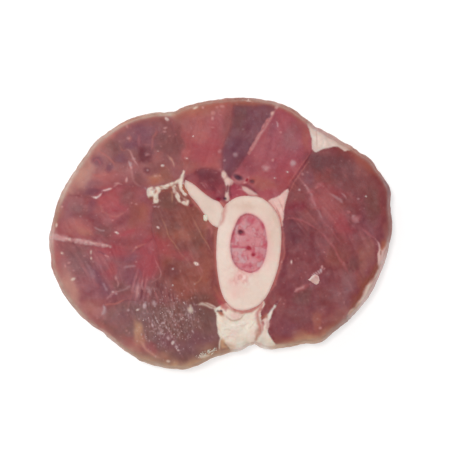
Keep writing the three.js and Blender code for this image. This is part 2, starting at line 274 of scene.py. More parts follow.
def draw_lines(canvas, field, lines):
    """Draws lines on a canvas, each with its height in a field."""
    for tone, strength, width, height, *pixels in lines:
        mark = stroke(pixels, width)
        tint(canvas, mark, tone, strength)
        lift(field, mark, height)


def draw_spots(canvas, field, spots, firmness, bend=0.3):
    """Draws spots on a canvas, each with its height in a field."""
    for tone, strength, height, pixel, long, wide, turn in spots:
        mark = spot(pixel, long, wide, turn, firmness, bend)
        tint(canvas, mark, tone, strength)
        lift(field, mark, height)


# Outlines of the pieces, read from the frame

def section(name, z):
    """The closed loops in which a level plane cuts a node of the frame, the longest first."""
    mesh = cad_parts[name].data
    points = np.empty(len(mesh.vertices) * 3, np.float32)
    mesh.vertices.foreach_get("co", points)
    points = np.round(points.reshape(-1, 3) / MM, 4)
    mesh.calc_loop_triangles()
    corners = np.empty(len(mesh.loop_triangles) * 3, np.int32)
    mesh.loop_triangles.foreach_get("vertices", corners)
    triangles = points[corners.reshape(-1, 3)]
    above = triangles[:, :, 2] > z
    following = {}
    for triangle, high in zip(triangles, above):
        if high.all() or not high.any():
            continue
        ends = {}
        for i in range(3):
            j = (i + 1) % 3
            if high[i] != high[j]:
                a, b = sorted((tuple(triangle[i]), tuple(triangle[j])))
                share = (z - a[2]) / (b[2] - a[2])
                ends[bool(high[i])] = tuple(round(float(a[k] + share * (b[k] - a[k])), 3) for k in (0, 1))
        if ends[True] != ends[False]:
            following[ends[True]] = ends[False]
    loops = []
    while following:
        start, point = following.popitem()
        loop = [start]
        while point != start and point in following:
            loop.append(point)
            point = following.pop(point)
        if len(loop) > 4:
            loops.append(np.array(loop))
    return sorted(loops, key=lambda loop: -abs(area(loop)))


def area(loop):
    """The area inside a closed loop; negative where it runs clockwise."""
    x, y = loop[:, 0], loop[:, 1]
    return 0.5 * float(np.sum(x * np.roll(y, -1) - np.roll(x, -1) * y))


def turns(loop):
    """How sharply a closed loop turns at each of its points."""
    before = loop - np.roll(loop, 1, 0)
    after = np.roll(loop, -1, 0) - loop
    angle = np.arctan2(after[:, 1], after[:, 0]) - np.arctan2(before[:, 1], before[:, 0])
    return np.abs((angle + math.pi) % (2 * math.pi) - math.pi)


def thinned(loop, shortest=0.35):
    """The loop without points that lie on a straight stretch or crowd together."""
    loop = loop[np.linalg.norm(loop - np.roll(loop, 1, 0), axis=1) > 0.02]
    loop = loop[turns(loop) > math.radians(0.6)]
    sharpness = turns(loop)
    kept = [loop[0]]
    for point, turn in zip(loop[1:], sharpness[1:]):
        if np.linalg.norm(point - kept[-1]) > shortest or turn > CORNER:
            kept.append(point)
    return np.array(kept)


def resampled(loop, step):
    """A smooth closed loop through the same points, evenly spaced, with its corners kept."""
    loop = thinned(loop)
    sharp = turns(loop) > CORNER
    length = np.linalg.norm(np.roll(loop, -1, 0) - loop, axis=1)
    chord = (np.roll(loop, -1, 0) - loop) / length[:, None]
    back = np.roll(chord, 1, 0)
    weight = (length / (length + np.roll(length, 1)))[:, None]
    tangent = chord * (1 - weight) + back * weight
    leave = np.where(sharp[:, None], chord, tangent)
    arrive = np.roll(np.where(sharp[:, None], back, tangent), -1, 0)
    result = []
    for p, q, m, n, size in zip(loop, np.roll(loop, -1, 0), leave, arrive, length):
        t = np.linspace(0, 1, max(1, int(round(size / step))), endpoint=False)[:, None]
        result.append((2 * t ** 3 - 3 * t ** 2 + 1) * p + (t ** 3 - 2 * t ** 2 + t) * size * m
                      + (3 * t ** 2 - 2 * t ** 3) * q + (t ** 3 - t ** 2) * size * n)
    return np.concatenate(result)


def grown(loop, distance):
    """A closed loop moved away from its left side."""
    before = loop - np.roll(loop, 1, 0)
    after = np.roll(loop, -1, 0) - loop
    before /= np.linalg.norm(before, axis=1)[:, None]
    after /= np.linalg.norm(after, axis=1)[:, None]
    along = before + after
    along /= np.linalg.norm(along, axis=1)[:, None] + 1e-9
    sharpness = np.clip((along * after).sum(1), 0.5, 1)
    return untangled(loop + np.stack([along[:, 1], -along[:, 0]], 1) * (distance / sharpness)[:, None])


def untangled(loop, reach=16):
    """The loop without the small knots that growing leaves in a sharp hollow."""
    points = [np.array(p) for p in loop]
    i = 0
    while i < len(points):
        count = len(points)
        for j in range(reach, 1, -1):
            a, b = points[i], points[(i + 1) % count]
            c, d = points[(i + j) % count], points[(i + j + 1) % count]
            run, other, gap = b - a, d - c, c - a
            across = run[0] * other[1] - run[1] * other[0]
            if abs(across) < 1e-12:
                continue
            t = (gap[0] * other[1] - gap[1] * other[0]) / across
            u = (gap[0] * run[1] - gap[1] * run[0]) / across
            if 0 <= t <= 1 and 0 <= u <= 1:
                doomed = {(i + k) % count for k in range(2, j + 1)}
                points[(i + 1) % count] = a + t * run
                points = [p for k, p in enumerate(points) if k not in doomed]
                break
        i += 1
    return np.array(points)


def inside(loops, points):
    """Which points lie inside an outline and outside its holes."""
    x, y = points[:, 0], points[:, 1]
    result = np.zeros(len(points), bool)
    for loop in loops:
        for (ax, ay), (bx, by) in zip(loop, np.roll(loop, -1, 0)):
            if ay != by:
                rows = np.nonzero((y >= min(ay, by)) & (y < max(ay, by)))[0]
                result[rows] ^= x[rows] < ax + (y[rows] - ay) / (by - ay) * (bx - ax)
    return result


outlines = {}
for node in FLESH + BONES + ("marrow",):
    loops = section(node, SHOULDER_Z)
    if node != "shin_bone":
        loops = loops[:1]
    # The outer loop runs anticlockwise and the hole clockwise, so both grow away from the solid
    loops = [loop if (area(loop) > 0) == (k == 0) else loop[::-1] for k, loop in enumerate(loops)]
    outlines[node] = [grown(resampled(loop, LOOP_STEP), GROW) for loop in loops]


# The rim of the whole slice, as a distance from the bone's middle at each angle

# Where the rim swells or draws in, by how much, and how far along the rim
RIM_BUMPS = (
    ((262, 98), -.45, 16), ((240, 97), -.30, 10), ((222, 98), -.35, 16), ((156, 112), -.20, 10),
    ((141, 117), -.15, 8), ((103, 134), -.20, 8), ((88, 151), -.35, 10), ((50, 236), .35, 5),
    ((50, 257), -.75, 8), ((64, 293), .25, 9), ((102, 332), -.45, 5), ((125, 347), .30, 9),
    ((140, 360), .25, 9), ((197, 366), .45, 14), ((205, 364), .40, 9), ((220, 356), .75, 6),
    ((240, 351), .50, 9), ((247, 346), -.50, 4), ((307, 345), -.75, 8), ((320, 341), .60, 9),
    ((391, 228), .40, 16), ((390, 190), .65, 9), ((381, 168), -.30, 4), ((362, 153), -.25, 4),
    ((350, 147), .30, 4), ((315, 127), -.40, 5), ((303, 112), -.20, 6), ((286, 105), -.15, 10),
)
BUMP_DEPTH = 1.6
RIM_STEPS = 1440
SOFTENING = 4.0
rim_angle = (np.arange(RIM_STEPS) + 0.5) / RIM_STEPS * 2 * math.pi


def rim_of(loops):
    """The outermost reach of some loops at each angle, without the notches between them."""
    reach = np.zeros(RIM_STEPS)
    for loop in loops:
        following = np.roll(loop, -1, 0)
        dense = np.concatenate([loop + share * (following - loop) for share in (0, 0.25, 0.5, 0.75)])
        dense = dense - BONE_MIDDLE
        bins = (np.arctan2(dense[:, 1], dense[:, 0]) / (2 * math.pi) * RIM_STEPS).astype(int) % RIM_STEPS
        np.maximum.at(reach, bins, np.hypot(dense[:, 0], dense[:, 1]))
    reach = np.median([np.roll(reach, k) for k in range(-6, 7)], axis=0)
    steps_away = np.minimum(np.arange(RIM_STEPS), RIM_STEPS - np.arange(RIM_STEPS))
    kernel = np.exp(-0.5 * (steps_away / SOFTENING) ** 2)
    return np.fft.irfft(np.fft.rfft(reach) * np.fft.rfft(kernel / kernel.sum()).real, RIM_STEPS)


rim_radius = rim_of([outlines[node][0] for node in FLESH])
rim_bump = np.zeros(RIM_STEPS)
for pixel, height, length in RIM_BUMPS:
    x, y = place(pixel)
    angle = math.atan2(y - BONE_MIDDLE[1], x - BONE_MIDDLE[0])
    away = np.abs((rim_angle - angle + math.pi) % (2 * math.pi) - math.pi) * rim_radius
    rim_bump += height * np.exp(-(away / (length * PHOTO_PIXEL)) ** 2)
for loops in outlines.values():
    for loop in loops:
        arm = loop - BONE_MIDDLE
        distance = np.hypot(arm[:, 0], arm[:, 1])
        angle = np.mod(np.arctan2(arm[:, 1], arm[:, 0]), 2 * math.pi)
        depth = np.maximum(np.interp(angle, rim_angle, rim_radius) - distance, 0)
        swelling = np.interp(angle, rim_angle, rim_bump) * np.exp(-(depth / BUMP_DEPTH) ** 2)
        loop += arm / distance[:, None] * swelling[:, None]
rim_radius = rim_of([outlines[node][0] for node in FLESH])
rim_line = np.stack([np.cos(rim_angle), np.sin(rim_angle)], 1) * rim_radius[:, None] + BONE_MIDDLE
rim_run = np.roll(rim_line, -1, 0) - np.roll(rim_line, 1, 0)
rim_normal = np.stack([rim_run[:, 1], -rim_run[:, 0]], 1) / np.linalg.norm(rim_run, axis=1)[:, None]
rim_along = np.cumsum(np.linalg.norm(rim_line - np.roll(rim_line, 1, 0), axis=1))
RIM_LENGTH = float(rim_along[-1])


def at_rim(x, y):
    """Distance from the rim, its outward direction there, and the place along it."""
    dx, dy = x - BONE_MIDDLE[0], y - BONE_MIDDLE[1]
    turn = np.mod(np.arctan2(dy, dx) / (2 * math.pi) * RIM_STEPS - 0.5, RIM_STEPS)
    i = turn.astype(int) % RIM_STEPS
    j = (i + 1) % RIM_STEPS
    share = turn - np.floor(turn)
    radius = rim_radius[i] * (1 - share) + rim_radius[j] * share
    normal = rim_normal[i] * (1 - share)[..., None] + rim_normal[j] * share[..., None]
    distance = np.hypot(dx, dy)
    facing = (normal[..., 0] * dx + normal[..., 1] * dy) / np.maximum(distance, 1e-6)
    step = np.mod(rim_along[j] - rim_along[i], RIM_LENGTH)
    along = np.mod(rim_along[i] + share * step, RIM_LENGTH)
    return (radius - distance) * np.clip(facing, 0.3, 1), normal, along


def at_level(x, y, z):
    """Where a point of the shoulder's plane lies lower down, as the wall bulges and draws in."""
    depth, normal, _ = at_rim(x, y)
    depth = np.maximum(depth, 0)
    inset = np.interp(z, WALL_Z, WALL_INSET)
    moved = inset + depth * (1 - (inset - SHOULDER_INSET) / SQUEEZED_RIM)
    inward = np.where(depth < SQUEEZED_RIM, moved - SHOULDER_INSET - depth, 0)
    return x - normal[..., 0] * inward, y - normal[..., 1] * inward


rim_depth, _, rim_place = at_rim(face.X, face.Y)
wall = Grid((0, 0), (RIM_LENGTH, THICKNESS + 2), RIM_LENGTH / round(RIM_LENGTH / WALL_CELL))


# Which piece lies where, with soft borders

solid = {node: face.fill(loops) for node, loops in outlines.items()}

# The fat right of the pad reaches a little further, where the solids leave a crack between the two
CRACK = 0.15
outlines["fat_under_right"] = [grown(resampled(outlines["fat_under_right"][0], LOOP_STEP), CRACK)]

# How softly each muscle's tone passes into the next one's, how far a faint trace of it reaches,
# and which fat is thin and ragged
SOFT_BORDER = 1.3
CLEAR_BORDER = 0.45
TRACE_REACH = 3.0
SOFT_MUSCLES = MUSCLES[:5]
THIN_FATS = ("fat_by_vessels", "fat_over_bone")


def shares(nodes):
    """How much of each of these pieces there is at each place; it adds up to 1 everywhere."""
    soft = {}
    for node in nodes:
        near = np.maximum(face.blur(solid[node], SOFT_BORDER if node in SOFT_MUSCLES else CLEAR_BORDER), 0)
        far = np.maximum(face.blur(solid[node], TRACE_REACH), 0)
        soft[node] = near + 1e-3 * far + 1e-9
    total = sum(soft.values())
    return {node: part / total for node, part in soft.items()}


meat_share = shares(MUSCLES)
pale_share = shares(FATS + SINEWS)
hard_share = shares(BONES + ("marrow",))
seam = sum(np.clip(face.blur(solid[node], 0.4), 0, 1) ** 2 for node in MUSCLES)
meat_cover = np.clip(face.blur(sum(solid[node] for node in MUSCLES), 0.4), 0, 1)
seam = np.clip(2 * (meat_cover ** 2 - seam), 0, 1)
fat_solid = face.blur(sum(solid[node] for node in FATS if node not in THIN_FATS), 0.35)
thin_solid = face.blur(sum(solid[node] for node in THIN_FATS), 0.5)
strand_solid = face.blur(sum(solid[node] for node in SINEWS), 0.35)
bone_cover = face.blur(solid["shin_bone"] + solid["side_bone"] + solid["marrow"], 0.45)
bone_edge = np.clip(4 * bone_cover * (1 - bone_cover), 0, 1)
# Salmon on the meat round the bones: partly the meat's own tone there, partly painted light against the
# shade at the bones' raised edge
salmon_and_light_by_bone = np.clip(2 * face.blur(bone_cover, 0.5), 0, 1)


def base_canvas(parts):
    """A canvas with each piece's base tone where the piece is."""
    return sum(part[..., None] * np.array(BASES[node], float) for node, part in parts.items())


# Broad soft patches of the meat: tone, strength, pixel in its middle, radii and turn

BLOOMS = (
    # The upper left muscle, with dark cells between pale ones
    ("dusk", .60, (168, 140), 4.6, 7.6, 5), ("dusk", .45, (123, 152), 6.0, 5.4, 0),
    ("dusk", .45, (158, 168), 4.0, 3.0, 0), ("peach", .55, (86, 172), 6.0, 2.6, 52),
    ("salmon", .55, (103, 177), 5.0, 1.8, 10), ("rose", .50, (124, 126), 4.5, 1.5, 35),
    ("salmon", .50, (108, 138), 4.5, 1.6, 42), ("salmon", .30, (157, 157), 2.4, 2.6, 0),
    ("rose", .40, (113, 178), 5.0, 2.4, 5), ("plum", .55, (142, 134), 6.0, 5.0, 0),
    ("plum", .60, (143, 137), 4.0, 3.6, 0), ("dusk", .85, (159.5, 138), 2.6, 2.0, 0),
    ("plum", .85, (129, 145), 2.6, 1.4, 0), ("dark_wine", .80, (144.5, 155), 3.1, 2.7, 8),
    ("plum", .80, (122.5, 158), 2.5, 2.3, 0), ("dusk", .80, (113, 146), 3.1, 2.0, -15),
    ("dusk", .90, (159, 148), 2.2, 1.3, 0), ("plum", .80, (110.5, 168), 1.5, 1.6, 0),
    ("plum", .70, (97, 162), 2.2, 1.6, -25), ("dusk", .50, (169, 148), 2.2, 1.8, 0),
    ("dark_wine", .60, (147, 170), 1.2, 1.0, 0), ("salmon", .60, (129.5, 139), 0.8, 1.1, 0),
    ("rose", .45, (139, 141), 0.5, 2.0, 0), ("rose", .20, (134, 165), 1.6, 2.0, 30),
    ("rust", .90, (155, 180), 3.2, 2.0, 8), ("tan", .45, (155, 176.5), 2.2, 0.8, 8),
    ("red", .45, (108, 189), 5.5, 1.4, 5), ("plum", .75, (93, 191.5), 4.6, 1.3, -5),
    ("dusk", .55, (139, 179), 1.6, 2.6, 0), ("wine", .15, (125, 187), 3.0, 1.3, -10),
    ("mauve", .35, (92, 184), 3.6, 1.2, 12), ("brown", .80, (166, 177), 2.2, 3.2, 0),
    # The left muscle
    ("mauve", .60, (66, 212), 3.6, 5.4, 15), ("dusk", .50, (80, 211), 3.4, 2.6, 10),
    ("grey", .35, (76, 205), 3.0, 3.0, 0), ("salmon", .60, (78, 227), 4.8, 2.4, -5),
    ("tan", .35, (84, 232), 3.2, 1.4, -4), ("red", .70, (113, 204), 5.2, 4.0, 10),
    ("salmon", .20, (111, 201), 3.0, 2.4, 10), ("wine", .50, (96, 221), 5.0, 1.6, -42),
    ("dusk", .65, (106, 231), 3.0, 2.6, 0), ("plum", .50, (92, 206), 1.4, 3.0, -15),
    ("wine", .35, (120, 222), 4.2, 1.5, 30), ("red", .35, (127, 234), 4.4, 1.6, 12),
    ("wine", .35, (122, 243), 4.0, 1.6, 0), ("brown", .50, (134, 216), 3.0, 4.0, 0),
    ("rust", .50, (143, 212), 1.8, 3.6, 0), ("dusk", .45, (128, 197), 2.8, 3.0, 0),
    ("red", .35, (100, 197), 2.6, 1.6, 0),
    # The lower left muscle
    ("dusk", .55, (72, 252), 4.0, 3.0, 0), ("umber", .30, (80, 264), 4.6, 5.4, 0),
    ("grey", .25, (76, 262), 4.0, 4.0, 0), ("red", .65, (112, 252), 6.4, 2.0, -10),
    ("rose", .50, (100, 259), 3.6, 1.8, -20), ("red", .60, (111, 271), 2.6, 3.0, 0),
    ("salmon", .35, (112, 270), 1.8, 1.8, 0), ("red", .65, (147, 262), 4.0, 6.5, 0),
    ("red", .40, (150, 241), 3.6, 2.2, 20), ("plum", .50, (130, 258), 3.6, 1.5, 5),
    ("plum", .50, (129, 276), 2.4, 3.0, 0), ("plum", .70, (99, 280), 4.6, 1.2, -50),
    ("mauve", .30, (91, 276), 3.6, 1.3, -60), ("dusk", .80, (121, 288), 3.4, 3.2, 0),
    ("plum", .45, (106, 292), 3.0, 2.0, -40), ("peach", .55, (70, 283), 2.0, 7.0, 22),
    ("rust", .35, (92, 306), 3.4, 2.6, -40), ("mauve", .40, (122, 318), 5.0, 3.4, 0),
    ("red", .45, (134, 345), 5.0, 2.2, -28), ("ochre", .65, (137, 329), 1.6, 3.4, 5),
    ("tan", .80, (139, 338), 2.0, 2.8, 0), ("grey", .40, (138, 292), 2.0, 4.0, 0),
    ("dusk", .90, (160, 291), 4.8, 5.4, 0), ("wine", .35, (86, 294), 2.6, 3.0, -30),
    ("blush", .35, (100, 314), 3.0, 1.6, -40),
    # The inner muscle
    ("umber", .50, (167, 203), 3.0, 2.4, 0), ("dusk", .60, (158, 217), 2.6, 5.2, 0),
    ("umber", .30, (174, 225), 2.4, 2.6, 0), ("brown", .50, (186, 214), 4.6, 4.2, 0),
    ("rust", .50, (183, 236), 5.0, 2.4, 0), ("red", .55, (163, 246), 3.0, 3.4, 0),
    ("red", .40, (178, 255), 5.5, 2.2, -10), ("umber", .40, (197, 240), 2.6, 4.4, -20),
    ("dark_wine", .50, (172, 272), 4.0, 2.2, 0), ("brown", .50, (190, 287), 5.5, 4.5, 0),
    ("umber", .60, (200, 300), 4.5, 2.0, 0), ("rust", .35, (206, 270), 2.0, 5.0, 0),
    ("wine", .55, (211, 240), 1.7, 5.4, 0), ("wine", .35, (215, 282), 1.8, 5.0, 10),
    ("red", .60, (223, 300), 2.8, 1.8, -40), ("rust", .35, (205, 222), 2.0, 2.6, 0),
    # The bottom muscle
    ("umber", .50, (206, 316), 4.0, 3.4, 0), ("umber", .30, (165, 315), 5.5, 4.5, 0),
    ("umber", .35, (182, 325), 5.0, 4.5, 0), ("plum", .50, (166, 340), 3.0, 3.4, 0),
    ("plum", .45, (200, 340), 4.5, 2.8, 0), ("salmon", .30, (158, 355), 4.0, 1.4, -20),
    ("red", .40, (150, 348), 2.6, 1.8, -30), ("plum", .30, (178, 347), 5.0, 2.0, 0),
    # The three muscles at the top
    ("dusk", .30, (182, 120), 3.6, 3.4, 0), ("dusk", .60, (178, 142), 1.8, 5.5, 0),
    ("brown", .30, (190, 165), 3.6, 2.0, 0), ("red", .50, (205, 150), 5.5, 4.6, 0),
    ("salmon", .45, (200, 137), 2.8, 2.6, 0), ("dusk", .40, (228, 122), 1.5, 7.5, -6),
    ("tan", .25, (205, 112), 4.4, 2.0, 0), ("red", .30, (214, 132), 1.6, 4.4, 10),
    ("umber", .35, (240, 118), 3.0, 5.0, 0), ("plum", .55, (229, 160), 2.6, 3.4, 0),
    ("plum", .35, (252, 130), 3.0, 4.0, 0), ("rust", .40, (250, 103), 7.0, 1.0, 0),
    ("wine", .30, (248, 164), 3.4, 3.0, 0), ("rust", .45, (262, 183), 5.5, 2.0, -15),
    ("red", .45, (266, 193), 4.0, 2.0, 0), ("grey", .45, (290, 139), 3.6, 3.4, 0),
    ("dusk", .35, (297, 127), 2.6, 2.4, 0), ("rust", .25, (293, 113), 4.4, 1.4, -28),
    ("rust", .40, (306, 137), 1.4, 4.5, 5), ("red", .35, (283, 165), 3.0, 3.0, 0),
    ("rose", .40, (262, 140), 2.2, 5.5, -25), ("plum", .35, (272, 128), 1.6, 3.0, -20),
    # The deep muscle and its sliver
    ("dark_wine", .65, (205, 174), 4.4, 2.2, 0), ("rose", .45, (192, 178), 1.8, 1.8, 0),
    ("red", .50, (212, 194), 4.0, 1.2, -12), ("red", .45, (222, 189), 2.2, 1.6, 0),
    ("dark_wine", .15, (216, 180), 2.2, 2.2, 0), ("red", .55, (244, 192), 3.6, 0.9, 0),
    # The right muscle
    ("plum_brown", .85, (320, 162), 6.0, 3.6, -5), ("plum_brown", .70, (344, 168), 4.4, 4.4, 0),
    ("plum", .60, (306, 178), 2.2, 3.2, 0), ("dusk", .55, (357, 182), 5.0, 5.0, 0),
    ("rust", .25, (364, 164), 4.4, 1.5, -42), ("umber", .50, (373, 205), 2.8, 7.0, 0),
    ("red", .35, (322, 205), 5.6, 3.6, -45), ("salmon", .40, (330, 213), 6.0, 2.6, -45),
    ("red", .55, (342, 226), 5.6, 3.0, -50), ("crimson_dark", .75, (296, 207), 3.6, 2.2, 20),
    ("red", .35, (330, 190), 5.0, 2.0, -20), ("dark_wine", .80, (294, 232), 2.8, 5.0, 0),
    ("wine", .50, (308, 248), 4.4, 4.6, -30), ("brown", .50, (336, 256), 4.2, 5.0, -50),
    ("mauve", .30, (369, 228), 2.4, 2.6, 0), ("clay", .30, (386, 232), 1.0, 3.0, 0),
    ("rust", .50, (384, 243), 1.4, 1.6, 0), ("tan", .30, (362, 262), 1.4, 5.4, 8),
    ("clay", .35, (369, 252), 2.0, 4.6, 8), ("grey", .50, (348, 283), 2.6, 4.2, 20),
    ("grey", .40, (341, 297), 4.4, 3.2, -30), ("umber", .45, (303, 296), 3.0, 4.0, 0),
    ("umber", .10, (322, 300), 4.6, 3.4, 0), ("dusk", .50, (300, 317), 5.0, 3.6, 0),
    ("plum", .45, (289, 331), 3.2, 2.6, 0), ("rust", .60, (317, 320), 1.6, 3.6, 0),
    ("clay", .40, (339, 314), 5.0, 1.8, 35), ("tan", .45, (310, 338), 5.0, 1.2, 4),
    ("wine", .50, (284, 250), 1.2, 7.0, 4), ("wine", .40, (285, 290), 3.0, 3.6, 0),
    ("umber", .45, (352, 266), 1.8, 3.0, -40), ("brown", .70, (364, 284), 1.8, 3.6, 30),
)

# Lines on the meat: tone, strength, width, height, and the pixels that they run through

